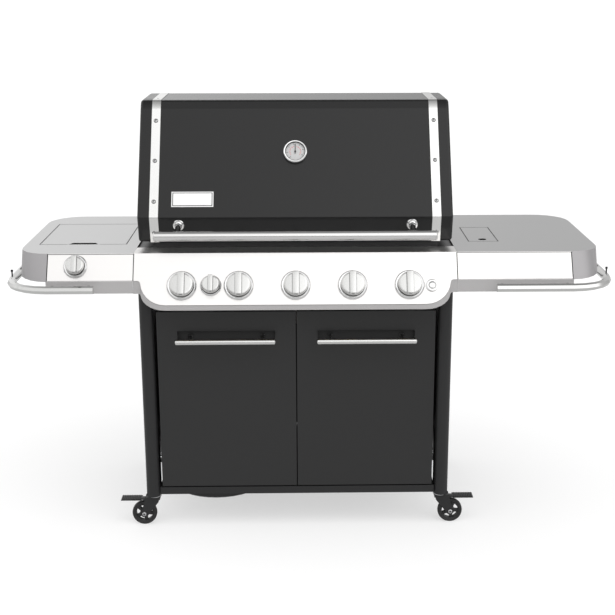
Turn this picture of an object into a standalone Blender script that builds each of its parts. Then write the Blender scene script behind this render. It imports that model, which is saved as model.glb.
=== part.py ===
"""Gas barbecue grill on a cabinet cart, as separate sub-parts. Metres, +Z up, front towards -Y.

Sizes are given in the grill's own layout: x = 0 on the middle of the cookbox, y = 0 on the front edge
of the worktop, z = 0 on the floor. One empty, grill_origin, carries the whole layout, and shifts it so
that the world origin is under the middle of the grill's overall box.
"""

import math

import bmesh
import bpy
from mathutils import Matrix, Vector

# ---------------------------------------------------------------- driving dimensions
WORKTOP = 0.914  # height of both side tables and of the control panel's shelf
LID_HALF = 0.484  # half the width over the lid's end caps
BODY_HALF = 0.4915  # middle of the seam between the body and a side table
LEFT_TABLE = 0.845  # outer edge of each side table, from the middle of the cookbox
RIGHT_TABLE = 0.936
TABLE_REAR = 0.588
FACE_TILT = math.radians(30.4)  # lean of the sloping front, from vertical
SHEET = 0.002  # wall of the folded sheet parts
GAP = 0.0003  # between solids that touch
SEAM = 0.0015  # visible joint between panels

# sloping control panel, measured down its slope from the worktop edge
PANEL_DROP = 0.1635
EAR_DROP = 0.087
PANEL_STRAIGHT = 0.3926  # half the straight lower edge
EAR_FILLET = 0.008
SHELF_DEPTH = 0.082
BAND_FOOT = 0.800  # lower edge of the grey band under the tables
LIP_FOOT = 0.7575  # lower edge of the lip under the panel

# knobs
KNOB_PITCH = 0.1718
MAIN_KNOBS = 5
KNOB_ROW = 0.1032  # down the slope
MAIN_KNOB = 0.037  # radius of the cap
SMALL_KNOB = 0.0275
SIDE_KNOB = 0.030
BEZEL_RIM = 0.008  # how far a bezel reaches past its cap
BROILER_KNOB_X = -0.2558
SIDE_KNOB_X = -0.6647
SIDE_KNOB_ROW = 0.0417
BUTTON_X = 0.4118
BUTTON_ROW = 0.106
BUTTON_RADIUS = 0.011
STEM_RADIUS = 0.004
STEM_HOLE = 0.006

# lid
LID_FOOT = (0.070, 0.934)
LID_RIDGE = (0.0506, 1.0137)
LID_BROW = (0.231, 1.324)
LID_CROWN = (0.2495, 1.3495)
LID_REAR = 0.622
LID_TOP = 1.3512
LID_REAR_FOOT = 1.110
LID_REAR_RADIUS = 0.150
CAP_WIDTH = 0.037
CAP_ROUND = 0.011
TRIM_WIDTH = 0.027
TRIM_SHEET = 0.0012
PIVOT = (0.510, 0.985)  # y and z of the lid's hinge pins
PIVOT_RADIUS = 0.051
PIN_RADIUS = 0.006
HANDLE_RADIUS = 0.0155
HANDLE_HALF = 0.427
HANDLE_STANDOFF = 0.080
HANDLE_POST_X = 0.358
HANDLE_POST_HEIGHT = 0.9895  # where a post meets the lid
POST_RADIUS = 0.009
THERMOMETER_HEIGHT = 1.197
THERMOMETER_RADIUS = 0.0375

# cabinet
LEG_INNER = 0.441
LEG_OUTER = 0.485
LEG_FRONT = -0.004
LEG_DEPTH = 0.060
LEG_FOOT = 0.112
LEG_TOP = 0.798
CABINET_FOOT = 0.117
BASE_TOP = 0.141
BASE_SHEET = 0.003
DOOR_FRONT = 0.0104
DOOR_THICK = 0.022
DOOR_EDGE = 0.4325
DOOR_FOOT = 0.145
DOOR_TOP = 0.726
HINGE_INSET = (0.006, 0.008)  # from a door's outer edge and from its face
HINGE_PIN = 0.003
DOOR_HANDLE_X = 0.2173
DOOR_HANDLE_Z = DOOR_TOP - 0.083
DOOR_HANDLE_HALF = 0.153
DOOR_HANDLE_RADIUS = 0.009
DOOR_HANDLE_OUT = 0.050
DOOR_POST_X = 0.112
POCKET_HALF = 0.151
POCKET_TOP = DOOR_HANDLE_Z + 0.021
POCKET_FOOT = DOOR_HANDLE_Z - 0.023
POCKET_DEPTH = 0.016
BACK_PANEL_TOP = 0.610
DISH_CENTRE = (-0.262, 0.188)
DISH_RADIUS = 0.165
DISH_FOOT = 0.095

# cookbox
BOX_HALF = 0.440
BOX_FRONT = 0.084
BOX_REAR = 0.549
BOX_RIM = 0.930
BOX_WAIST = 0.795
BOX_OUTLET = 0.735
OUTLET = (0.150, 0.250, 0.390)  # half width, front and rear of the grease outlet
BOX_WALL = 0.004
CHEEK_TOP = 1.010
HOOD_BACK_TOP = 1.085
GRATE_TOP = 0.905
GRATE_BAR = (0.008, 0.010)
GRATE_BARS = 12
BURNER_HEIGHT = 0.822
BURNER_RADIUS = 0.012
TENT_TOP = 0.882

# grease tray under the outlet
TRAY_HALF = 0.180
TRAY_FRONT = 0.120
TRAY_REAR = 0.560
TRAY_FOOT = 0.655
TRAY_TOP = 0.700

# side tables
FRONT_CORNER = 0.092
REAR_CORNER = 0.110
FASCIA_FOOT = 0.838
SIDE_FLARE = 0.006
BURNER_LID = (0.5300, 0.8030, 0.131, 0.4515)  # nearer and further side, front, rear
HATCH_LID = (0.5460, 0.6420, 0.149, 0.3690)
LEDGE = 0.006  # how far a well's wall stands inside its opening
WELL_FOOT = 0.862
HATCH_FOOT = 0.872
NOTCH = (0.6655, 0.0475, 0.034, 0.025)  # middle, half width outside and inside, depth
FINGER_HOLE = (0.595, 0.181, 0.013)

# rails round the side tables
RAIL_RADIUS = 0.0125
RAIL_HEIGHT = 0.821
RAIL_FRONT = -0.082
RAIL_OUT = 0.028  # from a table's top edge to the rail's middle
RAIL_START = 0.604
RAIL_REAR = 0.470
RAIL_BEND = 0.128

# casters
CASTER_X = 0.463
CASTER_FRONT = 0.045
CASTER_REAR = 0.556
TRAIL = 0.035
WHEEL_RADIUS = 0.040
WHEEL_HALF = 0.011
AXLE = 0.004
CHEEK_GAP = 0.0127  # half the space between a fork's cheeks
CHEEK_SHEET = 0.003
PEDAL_PIN = (0.024, 0.0905, 0.0025)  # outwards from the swivel, height and radius

# ---------------------------------------------------------------- derived places
TILT_SIN, TILT_COS = math.sin(FACE_TILT), math.cos(FACE_TILT)
SLOPE_TURN = (math.pi / 2 - FACE_TILT, 0, 0)  # local z out of the slope, local y up it
LID_TILT = math.atan2(LID_BROW[0] - LID_RIDGE[0], LID_BROW[1] - LID_RIDGE[1])
GRIP_TIP, GRIP_END = 0.037, 0.002  # height of a knob's grip over the panel, and its inset from the cap
FRONT_MOST = -(KNOB_ROW + MAIN_KNOB - GRIP_END) * TILT_SIN - GRIP_TIP * TILT_COS
LEFT_MOST = LEFT_TABLE + RAIL_OUT + RAIL_RADIUS
RIGHT_MOST = RIGHT_TABLE + RAIL_OUT + RAIL_RADIUS
SHIFT = Vector(((LEFT_MOST - RIGHT_MOST) / 2, -(FRONT_MOST + LID_REAR) / 2, 0))


# ---------------------------------------------------------------- helpers
def clear_scene():
    for thing in list(bpy.data.objects):
        bpy.data.objects.remove(thing, do_unlink=True)


def collection(name):
    made = bpy.data.collections.new(name)
    bpy.context.scene.collection.children.link(made)
    return made


def material(name, colour, roughness, metallic):
    made = bpy.data.materials.new(name)
    made.use_nodes = True
    shader = made.node_tree.nodes["Principled BSDF"]
    shader.inputs["Base Color"].default_value = (*colour, 1)
    shader.inputs["Roughness"].default_value = roughness
    shader.inputs["Metallic"].default_value = metallic
    return made


clear_scene()
PARTS = collection("gas_barbecue_grill")
TOOLS = collection("cutters_and_joins")
STEEL = material("brushed_steel", (0.62, 0.61, 0.60), 0.32, 1.0)
CHROME = material("polished_steel", (0.75, 0.75, 0.75), 0.12, 1.0)
ENAMEL = material("black_enamel", (0.03, 0.03, 0.03), 0.3, 0.0)
BLACK = material("black_paint", (0.025, 0.025, 0.026), 0.45, 0.0)
GREY = material("grey_paint", (0.42, 0.42, 0.42), 0.45, 0.3)
CAST = material("cast_iron", (0.05, 0.05, 0.05), 0.7, 0.3)
CASTING = material("cast_aluminium", (0.04, 0.04, 0.04), 0.5, 0.3)
BRASS = material("brass", (0.6, 0.45, 0.2), 0.3, 1.0)
RUBBER = material("wheel_rubber", (0.015, 0.015, 0.015), 0.6, 0.0)


def empty(name, place=(0, 0, 0), turn=(0, 0, 0), parent=None):
    made = bpy.data.objects.new(name, None)
    TOOLS.objects.link(made)
    made.parent = parent
    made.location = place
    made.rotation_euler = turn
    return made


ORIGIN = empty("grill_origin", SHIFT)


def add(name, mesh, look, parent=None, place=(0, 0, 0), turn=(0, 0, 0), tool=False):
    """Links a mesh as an object of the model or, as a tool, as one that only cuts or joins."""
    made = bpy.data.objects.new(name, mesh)
    (TOOLS if tool else PARTS).objects.link(made)
    made.parent = parent or ORIGIN
    made.location = place
    made.rotation_euler = turn
    if look:
        mesh.materials.append(look)
    if tool:
        made.hide_render = True
        made.display_type = "WIRE"
    return made


def mesh_from(name, points, faces):
    mesh = bpy.data.meshes.new(name)
    mesh.from_pydata(points, [], faces)
    mesh.update()
    return mesh


def box(name, low, high, look=None, parent=None, tool=False):
    """A cuboid between two corners, with its origin in its middle."""
    low, high = Vector(low), Vector(high)
    shape = bmesh.new()
    bmesh.ops.create_cube(shape, size=1)
    bmesh.ops.scale(shape, vec=high - low, verts=shape.verts)
    mesh = bpy.data.meshes.new(name)
    shape.to_mesh(mesh)
    shape.free()
    return add(name, mesh, look, parent, (low + high) / 2, tool=tool)


def boxes(name, corners, look=None, parent=None, tool=False):
    """Several cuboids that don't touch, in one mesh."""
    shape = bmesh.new()
    for low, high in corners:
        low, high = Vector(low), Vector(high)
        size = Matrix.Diagonal((*(high - low), 1))
        bmesh.ops.create_cube(shape, size=1, matrix=Matrix.Translation((low + high) / 2) @ size)
    mesh = bpy.data.meshes.new(name)
    shape.to_mesh(mesh)
    shape.free()
    return add(name, mesh, look, parent, tool=tool)


def rod_matrix(start, end):
    along = Vector(end) - Vector(start)
    turn = along.to_track_quat("Z", "Y").to_matrix().to_4x4()
    return Matrix.Translation((Vector(start) + Vector(end)) / 2) @ turn


def rods(name, ends, radius, look=None, parent=None, tool=False, sides=16):
    """Round bars between pairs of points, in one mesh."""
    shape = bmesh.new()
    for start, end in ends:
        bmesh.ops.create_cone(
            shape,
            cap_ends=True,
            segments=sides,
            radius1=radius,
            radius2=radius,
            depth=(Vector(end) - Vector(start)).length,
            matrix=rod_matrix(start, end),
        )
    mesh = bpy.data.meshes.new(name)
    shape.to_mesh(mesh)
    shape.free()
    made = add(name, mesh, look, parent, tool=tool)
    smooth(made)
    return made


def smooth(made):
    made.data.shade_smooth()
    made.data.set_sharp_from_angle(angle=math.radians(35))


def thicken(made, thickness, offset=-1):
    wall = made.modifiers.new("wall", "SOLIDIFY")
    wall.thickness = thickness
    wall.offset = offset
    wall.use_even_offset = True


def round_edges(made, width, segments=2, angle=40):
    edge = made.modifiers.new("rounding", "BEVEL")
    edge.width = width
    edge.segments = segments
    edge.limit_method = "ANGLE"
    edge.angle_limit = math.radians(angle)


def combine(made, tool, operation):
    step = made.modifiers.new(operation.lower(), "BOOLEAN")
    step.operation = operation
    step.object = tool
    step.solver = "EXACT"


def cut(made, tool):
    combine(made, tool, "DIFFERENCE")


def join(made, tool):
    combine(made, tool, "UNION")


def turned(name, profile, look=None, parent=None, place=(0, 0, 0), turn=(0, 0, 0), tool=False, steps=20, ring=False):
    """A solid of revolution about local z. The profile of (radius, height) runs down the outer side."""
    points = [(r, 0, z) for r, z in profile]
    edges = [(i, i + 1) for i in range(len(points) - 1)]
    if ring:
        edges.append((len(points) - 1, 0))
    mesh = bpy.data.meshes.new(name)
    mesh.from_pydata(points, edges, [])
    made = add(name, mesh, look, parent, place, turn, tool)
    screw = made.modifiers.new("turning", "SCREW")
    screw.steps = screw.render_steps = steps
    screw.use_merge_vertices = True
    screw.merge_threshold = 0.00001
    screw.use_smooth_shade = False
    return made


def pipe(name, points, radius, look=None, parent=None, tool=False, resolution=2):
    """A round tube along points, made a mesh with closed ends so that it can be cut or joined."""
    line = bpy.data.curves.new(name + "_line", "CURVE")
    line.dimensions = "3D"
    line.bevel_depth = radius
    line.bevel_resolution = resolution
    line.use_fill_caps = True
    spline = line.splines.new("POLY")
    spline.points.add(len(points) - 1)
    for knot, point in zip(spline.points, points, strict=True):
        knot.co = (*point, 1)
    guide = bpy.data.objects.new(name + "_line", line)
    TOOLS.objects.link(guide)
    bpy.context.view_layer.update()
    graph = bpy.context.evaluated_depsgraph_get()
    mesh = bpy.data.meshes.new_from_object(guide.evaluated_get(graph))
    bpy.data.objects.remove(guide, do_unlink=True)
    shape = bmesh.new()
    shape.from_mesh(mesh)
    bmesh.ops.remove_doubles(shape, verts=shape.verts, dist=0.00001)
    bmesh.ops.recalc_face_normals(shape, faces=shape.faces)
    shape.to_mesh(mesh)
    shape.free()
    mesh.materials.clear()
    made = add(name, mesh, look, parent, tool=tool)
    smooth(made)
    return made


def rounded(points, radii, steps=4, closed=False):
    """The 2D outline with each corner that has a radius turned into an arc."""
    made = []
    count = len(points)
    for i, (here, radius) in enumerate(zip(points, radii, strict=True)):
        if radius == 0 or (not closed and i in (0, count - 1)):
            made.append(tuple(here))
            continue
        here = Vector(here)
        back = (Vector(points[i - 1]) - here).normalized()
        ahead = (Vector(points[(i + 1) % count]) - here).normalized()
        half = back.angle(ahead) / 2
        middle = here + (back + ahead).normalized() * radius / math.sin(half)
        first = here + back * radius / math.tan(half) - middle
        last = here + ahead * radius / math.tan(half) - middle
        start = math.atan2(first.y, first.x)
        sweep = (math.atan2(last.y, last.x) - start + math.pi) % (2 * math.pi) - math.pi
        for k in range(steps + 1):
            angle = start + sweep * k / steps
            made.append((middle.x + radius * math.cos(angle), middle.y + radius * math.sin(angle)))
    return made


def moved_out(points, distance):
    """An open 2D line moved sideways, to the left of its direction."""
    made = []
    for i, point in enumerate(points):
        before = Vector(points[max(i - 1, 0)])
        after = Vector(points[min(i + 1, len(points) - 1)])
        here = Vector(point)
        sides = []
        for a, b in ((before, here), (here, after)):
            step = b - a
            if step.length > 1e-9:
                sides.append(Vector((-step.y, step.x)).normalized())
        side = sum(sides, Vector((0, 0)))
        side = side / side.length
        stretch = 1 / max(side.dot(sides[0]), 0.3)
        made.append(tuple(here + side * distance * stretch))
    return made


def strip(name, line, left, right, look=None, parent=None, tool=False):
    """An open sheet: a line of (y, z) points swept from x = left to x = right."""
    points = [(x, y, z) for x in (left, right) for y, z in line]
    n = len(line)
    faces = [(i, i + 1, n + i + 1, n + i) for i in range(n - 1)]
    return add(name, mesh_from(name, points, faces), look, parent, tool=tool)


def slab(name, outline, low, high, axis, look=None, parent=None, tool=False):
    """A flat outline given a thickness along x, y or z. Outlines are (y, z), (x, z) or (x, y)."""
    flat = bpy.data.curves.new(name + "_outline", "CURVE")
    flat.dimensions = "2D"
    flat.fill_mode = "BOTH"
    flat.extrude = (high - low) / 2
    spline = flat.splines.new("POLY")
    spline.points.add(len(outline) - 1)
    spline.use_cyclic_u = True
    for knot, (u, v) in zip(spline.points, outline, strict=True):
        knot.co = (u, v, 0, 1)
    guide = bpy.data.objects.new(name + "_outline", flat)
    TOOLS.objects.link(guide)
    bpy.context.view_layer.update()
    graph = bpy.context.evaluated_depsgraph_get()
    mesh = bpy.data.meshes.new_from_object(guide.evaluated_get(graph))
    bpy.data.objects.remove(guide, do_unlink=True)
    turns = {
        "x": Matrix(((0, 0, 1, 0), (1, 0, 0, 0), (0, 1, 0, 0), (0, 0, 0, 1))),
        "y": Matrix(((1, 0, 0, 0), (0, 0, -1, 0), (0, 1, 0, 0), (0, 0, 0, 1))),
        "z": Matrix.Identity(4),
    }
    middle = (low + high) / 2
    shift = {"x": (middle, 0, 0), "y": (0, middle, 0), "z": (0, 0, middle)}[axis]
    mesh.transform(Matrix.Translation(shift) @ turns[axis])
    shape = bmesh.new()
    shape.from_mesh(mesh)
    bmesh.ops.remove_doubles(shape, verts=shape.verts, dist=0.00001)
    bmesh.ops.dissolve_limit(shape, angle_limit=0.001, verts=shape.verts, edges=shape.edges)
    bmesh.ops.recalc_face_normals(shape, faces=shape.faces)
    shape.to_mesh(mesh)
    shape.free()
    mesh.materials.clear()
    return add(name, mesh, look, parent, tool=tool)


def hang(made, axis):
    """Gives a piece, built in the grill's layout, a joint's empty as its parent."""
    made.parent = axis
    made.location = Vector(made.location) - Vector(axis.location)


def on_slope(x, down):
    """The point on the sloping front that far down from the worktop's edge."""
    return Vector((x, -down * TILT_SIN, WORKTOP - down * TILT_COS))


def sided(side, low, high):
    """The x range of a span given outwards from the middle, on the left (-1) or the right (1)."""
    return (side * high, side * low) if side < 0 else (low, high)


def side_name(side):
    return "left" if side < 0 else "right"


# ---------------------------------------------------------------- cabinet
def leg_outline(side):
    """Plan of a front leg: a flat back and a half-round nose."""
    half = (LEG_OUTER - LEG_INNER) / 2
    centre = Vector((side * (LEG_INNER + half), LEG_FRONT + half))
    nose = [
        (centre.x + half * math.cos(a), centre.y - half * math.sin(a))
        for a in (math.pi * k / 8 for k in range(9))
    ]
    rear = LEG_FRONT + LEG_DEPTH
    return [(centre.x + half, rear), *nose, (centre.x - half, rear)]


def front_leg(side):
    outline = leg_outline(side)
    n = len(outline)
    points = [(x, y, z) for z in (LEG_FOOT, LEG_TOP) for x, y in outline]
    walls = [(i, (i + 1) % n, n + (i + 1) % n, n + i) for i in range(n)]
    leg = add(f"front_leg_{side_name(side)}", mesh_from("leg", points, walls), BLACK)
    shape = bmesh.new()
    shape.from_mesh(leg.data)
    bmesh.ops.recalc_face_normals(shape, faces=shape.faces)
    shape.to_mesh(leg.data)
    shape.free()
    thicken(leg, SHEET)
    foot = slab(leg.name + "_foot", outline, LEG_FOOT, LEG_FOOT + 0.004, "z", tool=True)
    join(leg, foot)
    at = (side * CASTER_X, CASTER_FRONT)
    hole = rods(leg.name + "_hole", [((*at, 0.10), (*at, 0.13))], 0.0065, tool=True)
    cut(leg, hole)


def side_frame(side):
    """The welded side frame: a channel under the table's edge with the rear post below it."""
    name = f"side_frame_{side_name(side)}"
    inner, outer = 0.446, BODY_HALF - GAP / 2
    line = [(inner, LEG_TOP + 0.002), (inner, 0.908), (outer, 0.908), (outer, LEG_TOP + 0.002)]
    points = [(side * x, y, z) for y in (0.004, 0.585) for x, z in line]
    walls = [(i, i + 1, 5 + i, 4 + i) for i in range(3)]
    frame = add(name, mesh_from(name, points, walls), BLACK)
    thicken(frame, 0.003, offset=-side)
    low, high = sided(side, LEG_INNER, LEG_OUTER)
    post = box(name + "_post", (low, 0.545, LEG_FOOT), (high, 0.583, 0.860), tool=True)
    join(frame, post)
    hollow_low, hollow_high = sided(side, LEG_INNER + 0.003, LEG_OUTER - 0.003)
    hollow = box(name + "_hollow", (hollow_low, 0.548, 0.118), (hollow_high, 0.580, 0.870), tool=True)
    cut(frame, hollow)
    at = (side * CASTER_X, CASTER_REAR)
    cut(frame, rods(name + "_hole", [((*at, 0.10), (*at, 0.13))], 0.0065, tool=True))


def side_panel(side):
    low, high = sided(side, 0.470, 0.472)
    box(f"side_panel_{side_name(side)}", (low, 0.0625, 0.1455), (high, 0.5445, LEG_TOP), BLACK)


def base_panel():
    """Folded bottom tray, flanges down, with the hole for the gas cylinder's dish."""
    edge = LEG_INNER - 0.0005
    front, rear = DOOR_FRONT, 0.583
    loop = [(-edge, front), (edge, front), (edge, rear), (-edge, rear)]
    points = [(x, y, z) for z in (BASE_TOP, CABINET_FOOT) for x, y in loop]
    faces = [(0, 1, 2, 3)] + [(i, 4 + i, 4 + (i + 1) % 4, (i + 1) % 4) for i in range(4)]
    base = add("base_panel", mesh_from("base", points, faces), BLACK)
    thicken(base, BASE_SHEET)
    x, y = DISH_CENTRE
    reach = DISH_RADIUS + 0.001
    cut(base, rods("dish_hole", [((x, y, 0.130), (x, y, 0.150))], reach, tool=True, sides=40))
    pins = [((s * (DOOR_EDGE - HINGE_INSET[0]), DOOR_FRONT + HINGE_INSET[1])) for s in (-1, 1)]
    ends = [((*p, 0.130), (*p, 0.150)) for p in pins]
    cut(base, rods("door_pin_holes", ends, HINGE_PIN + 0.0005, tool=True, sides=12))


def cylinder_dish():
    """Shallow pan that the gas cylinder stands in, welded by its rim under the base panel's hole."""
    wall = 0.002
    r, foot, rim = DISH_RADIUS, DISH_FOOT, BASE_TOP - BASE_SHEET - GAP - wall
    profile = [
        (0, foot + wall),
        (r - 0.0065, foot + wall),
        (r - wall, foot + 0.0065),
        (r - wall, rim + wall),
        (r + 0.009, rim + wall),
        (r + 0.009, rim),
        (r, rim),
        (r, foot + 0.006),
        (r - 0.006, foot),
        (0, foot),
    ]
    turned("cylinder_dish", profile, BLACK, place=(*DISH_CENTRE, 0), steps=36)


def back_panel():
    edge = LEG_INNER - 0.0005
    box("back_panel", (-edge, 0.5705, BASE_TOP + 0.004), (edge, 0.5725, BACK_PANEL_TOP), BLACK)


def tray_subframe():
    """Welded sub-frame: front header, rear cross rail, and the grease tray's two runners."""
    edge = LEG_INNER - 0.0005
    frame = box("tray_subframe", (-edge, 0.014, 0.7315), (edge, 0.040, 0.7345), BLACK)
    join(frame, box("header_web", (-edge, 0.037, 0.7315), (edge, 0.040, 0.7550), tool=True))
    join(frame, box("rear_rail", (-edge, 0.5605, 0.712), (edge, 0.566, 0.7550), tool=True))
    for side in (-1, 1):
        low, high = sided(side, TRAY_HALF + 0.010, TRAY_HALF + 0.013)
        web = box(f"runner_web_{side_name(side)}", (low, 0.037, TRAY_FOOT - 0.0022), (high, 0.5645, 0.7335), tool=True)
        join(frame, web)
        low, high = sided(side, TRAY_HALF - 0.010, TRAY_HALF + 0.012)
        top = TRAY_FOOT - GAP
        ledge = box(f"runner_ledge_{side_name(side)}", (low, 0.038, top - 0.0025), (high, 0.564, top), tool=True)
        join(frame, ledge)
    pins = [((s * (DOOR_EDGE - HINGE_INSET[0]), DOOR_FRONT + HINGE_INSET[1])) for s in (-1, 1)]
    ends = [((*p, 0.725), (*p, 0.745)) for p in pins]
    cut(frame, rods("header_pin_holes", ends, HINGE_PIN + 0.0005, tool=True, sides=12))


def grease_tray():
    """Open tray that slides out at the back, with a grip on its rear wall."""
    axis = empty("grease_tray_axis", (0, TRAY_REAR, TRAY_TOP), parent=ORIGIN)
    loop = [(-TRAY_HALF, TRAY_FRONT), (TRAY_HALF, TRAY_FRONT), (TRAY_HALF, TRAY_REAR), (-TRAY_HALF, TRAY_REAR)]
    points = [(x, y, z) for z in (TRAY_FOOT, TRAY_TOP) for x, y in loop]
    faces = [(3, 2, 1, 0)] + [(i, (i + 1) % 4, 4 + (i + 1) % 4, 4 + i) for i in range(4)]
    tray = add("grease_tray", mesh_from("grease_tray", points, faces), STEEL)
    thicken(tray, 0.0015)
    grip = box("tray_grip", (-0.060, TRAY_REAR - 0.001, 0.690), (0.060, TRAY_REAR + 0.018, 0.693), tool=True)
    join(tray, grip)
    hang(grip, axis)
    hang(tray, axis)


def door(side):
    """Folded door pan with a finger pocket behind its handle, and hinge pins top and bottom."""
    name = f"door_{side_name(side)}"
    pin = (side * (DOOR_EDGE - HINGE_INSET[0]), DOOR_FRONT + HINGE_INSET[1])
    axis = empty(name + "_axis", (*pin, DOOR_FOOT), parent=ORIGIN)
    low, high = sided(side, SEAM, DOOR_EDGE)
    front, rear = DOOR_FRONT, DOOR_FRONT + DOOR_THICK
    loop = [(low, DOOR_FOOT), (high, DOOR_FOOT), (high, DOOR_TOP), (low, DOOR_TOP)]
    points = [(x, y, z) for y in (front, rear) for x, z in loop]
    faces = [(0, 1, 2, 3)] + [((i + 1) % 4, i, 4 + i, 4 + (i + 1) % 4) for i in range(4)]
    pan = add(name, mesh_from(name, points, faces), BLACK)
    thicken(pan, SHEET)
    low, high = sided(side, DOOR_HANDLE_X - POCKET_HALF, DOOR_HANDLE_X + POCKET_HALF)
    wall = SHEET
    back = front + POCKET_DEPTH
    block = box(
        name + "_pocket",
        (low - wall, front + 0.0005, POCKET_FOOT - wall),
        (high + wall, back + wall, POCKET_TOP + wall),
        tool=True,
    )
    hollow = box(name + "_hollow", (low, front - 0.01, POCKET_FOOT), (high, back, POCKET_TOP), tool=True)
    pins = rods(
        name + "_pins",
        [((*pin, DOOR_FOOT - 0.006), (*pin, DOOR_FOOT + 0.02)), ((*pin, DOOR_TOP - 0.02), (*pin, DOOR_TOP + 0.008))],
        HINGE_PIN,
        tool=True,
        sides=12,
    )
    for tool, operation in ((block, "UNION"), (hollow, "DIFFERENCE"), (pins, "UNION")):
        combine(pan, tool, operation)
        hang(tool, axis)
    hang(pan, axis)
    door_handle(side, axis)


def door_handle(side, axis):
    """Steel bar on two dark posts that stand in the door's pocket."""
    name = f"door_handle_{side_name(side)}"
    middle = Vector((side * DOOR_HANDLE_X, DOOR_FRONT - DOOR_HANDLE_OUT, DOOR_HANDLE_Z))
    reach = Vector((DOOR_HANDLE_HALF, 0, 0))
    bar = rods(name, [(middle - reach, middle + reach)], DOOR_HANDLE_RADIUS, CHROME, sides=18)
    foot = DOOR_FRONT + POCKET_DEPTH - GAP
    posts = [
        (middle + Vector((s * DOOR_POST_X, 0, 0)), Vector((middle.x + s * DOOR_POST_X, foot, DOOR_HANDLE_Z)))
        for s in (-1, 1)
    ]
    tool = rods(name + "_posts", posts, 0.005, tool=True, sides=12)
    join(bar, tool)
    hang(tool, axis)
    hang(bar, axis)


# ---------------------------------------------------------------- casters
def caster(side, y, place, braked):
    """Swivel caster: fork with its stem and axle, wheel and, at the front, a brake pedal."""
    at = Vector((side * CASTER_X, y, 0))
    swivel = empty(f"swivel_axis_{place}", at, parent=ORIGIN)
    out = side * TRAIL
    fork = turned(
        f"caster_fork_{place}",
        [(0, 0.126), (0.006, 0.126), (0.006, 0.1115), (0.021, 0.1115), (0.021, 0.097), (0, 0.097)],
        GREY,
        swivel,
        steps=14,
    )
    top = 0.0975
    half = CHEEK_GAP + CHEEK_SHEET
    bridge = box(f"fork_bridge_{place}", (-0.017, -half, 0.088), (0.017, half, top + 0.001), parent=swivel, tool=True)
    join(fork, bridge)
    for face in (-1, 1):
        eye = [
            (out + side * 0.013 * math.sin(a), WHEEL_RADIUS - 0.013 * math.cos(a))
            for a in (math.radians(d) for d in (-75, -25, 25, 75))
        ]
        outline = [(side * -0.017, top), (side * -0.012, 0.080), *eye, (side * 0.034, 0.080), (side * 0.030, top)]
        low, high = sorted((face * CHEEK_GAP, face * half))
        cheek = slab(f"fork_cheek_{place}_{face}", outline, low, high, "y", parent=swivel, tool=True)
        join(fork, cheek)
    axle_ends = ((out, -half - 0.002, WHEEL_RADIUS), (out, half + 0.002, WHEEL_RADIUS))
    join(fork, rods(f"fork_axle_{place}", [axle_ends], AXLE, parent=swivel, tool=True, sides=10))
    caster_wheel(place, swivel, out)
    if braked:
        pin = (side * PEDAL_PIN[0], 0, PEDAL_PIN[1])
        reach = Vector((0, half - 0.0005, 0))
        pin_ends = (Vector(pin) - reach, Vector(pin) + reach)
        join(fork, rods(f"pedal_pin_{place}", [pin_ends], PEDAL_PIN[2], parent=swivel, tool=True, sides=10))
        caster_pedal(place, swivel, side, pin)


def caster_wheel(place, swivel, out):
    r, w, bore = WHEEL_RADIUS, WHEEL_HALF, AXLE + 0.0003
    profile = [(r - 0.003, w), (r, w - 0.004), (r, -w + 0.004), (r - 0.003, -w), (bore, -w), (bore, w)]
    axis = empty(f"wheel_axis_{place}", (out, 0, WHEEL_RADIUS), (math.pi / 2, 0, 0), swivel)
    turned(f"caster_wheel_{place}", profile, RUBBER, axis, steps=20, ring=True)


def caster_pedal(place, swivel, side, pin):
    """Brake pedal: a wide tread plate on a neck that turns on a pin between the fork's cheeks."""
    axis = empty(f"pedal_axis_{place}", pin, parent=swivel)
    low, high = sided(side, 0.016, 0.085)
    plate = box(f"caster_pedal_{place}", (low, -0.0205, -0.0025), (high, 0.0205, 0.0005), BLACK, axis)
    low, high = sided(side, 0.0, 0.018)
    join(plate, box(f"pedal_neck_{place}", (low, -0.0110, -0.0030), (high, 0.0110, 0.0010), parent=axis, tool=True))
    across = ((0, -0.0118, 0), (0, 0.0118, 0))
    join(plate, rods(f"pedal_barrel_{place}", [across], 0.005, parent=axis, tool=True, sides=12))
    low, high = sided(side, 0.020, 0.040)
    join(plate, box(f"pedal_shoe_{place}", (low, -0.008, -0.0075), (high, 0.008, -0.002), parent=axis, tool=True))
    through = ((0, -0.013, 0), (0, 0.013, 0))
    cut(plate, rods(f"pedal_bore_{place}", [through], PEDAL_PIN[2] + GAP, parent=axis, tool=True, sides=10))


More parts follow.
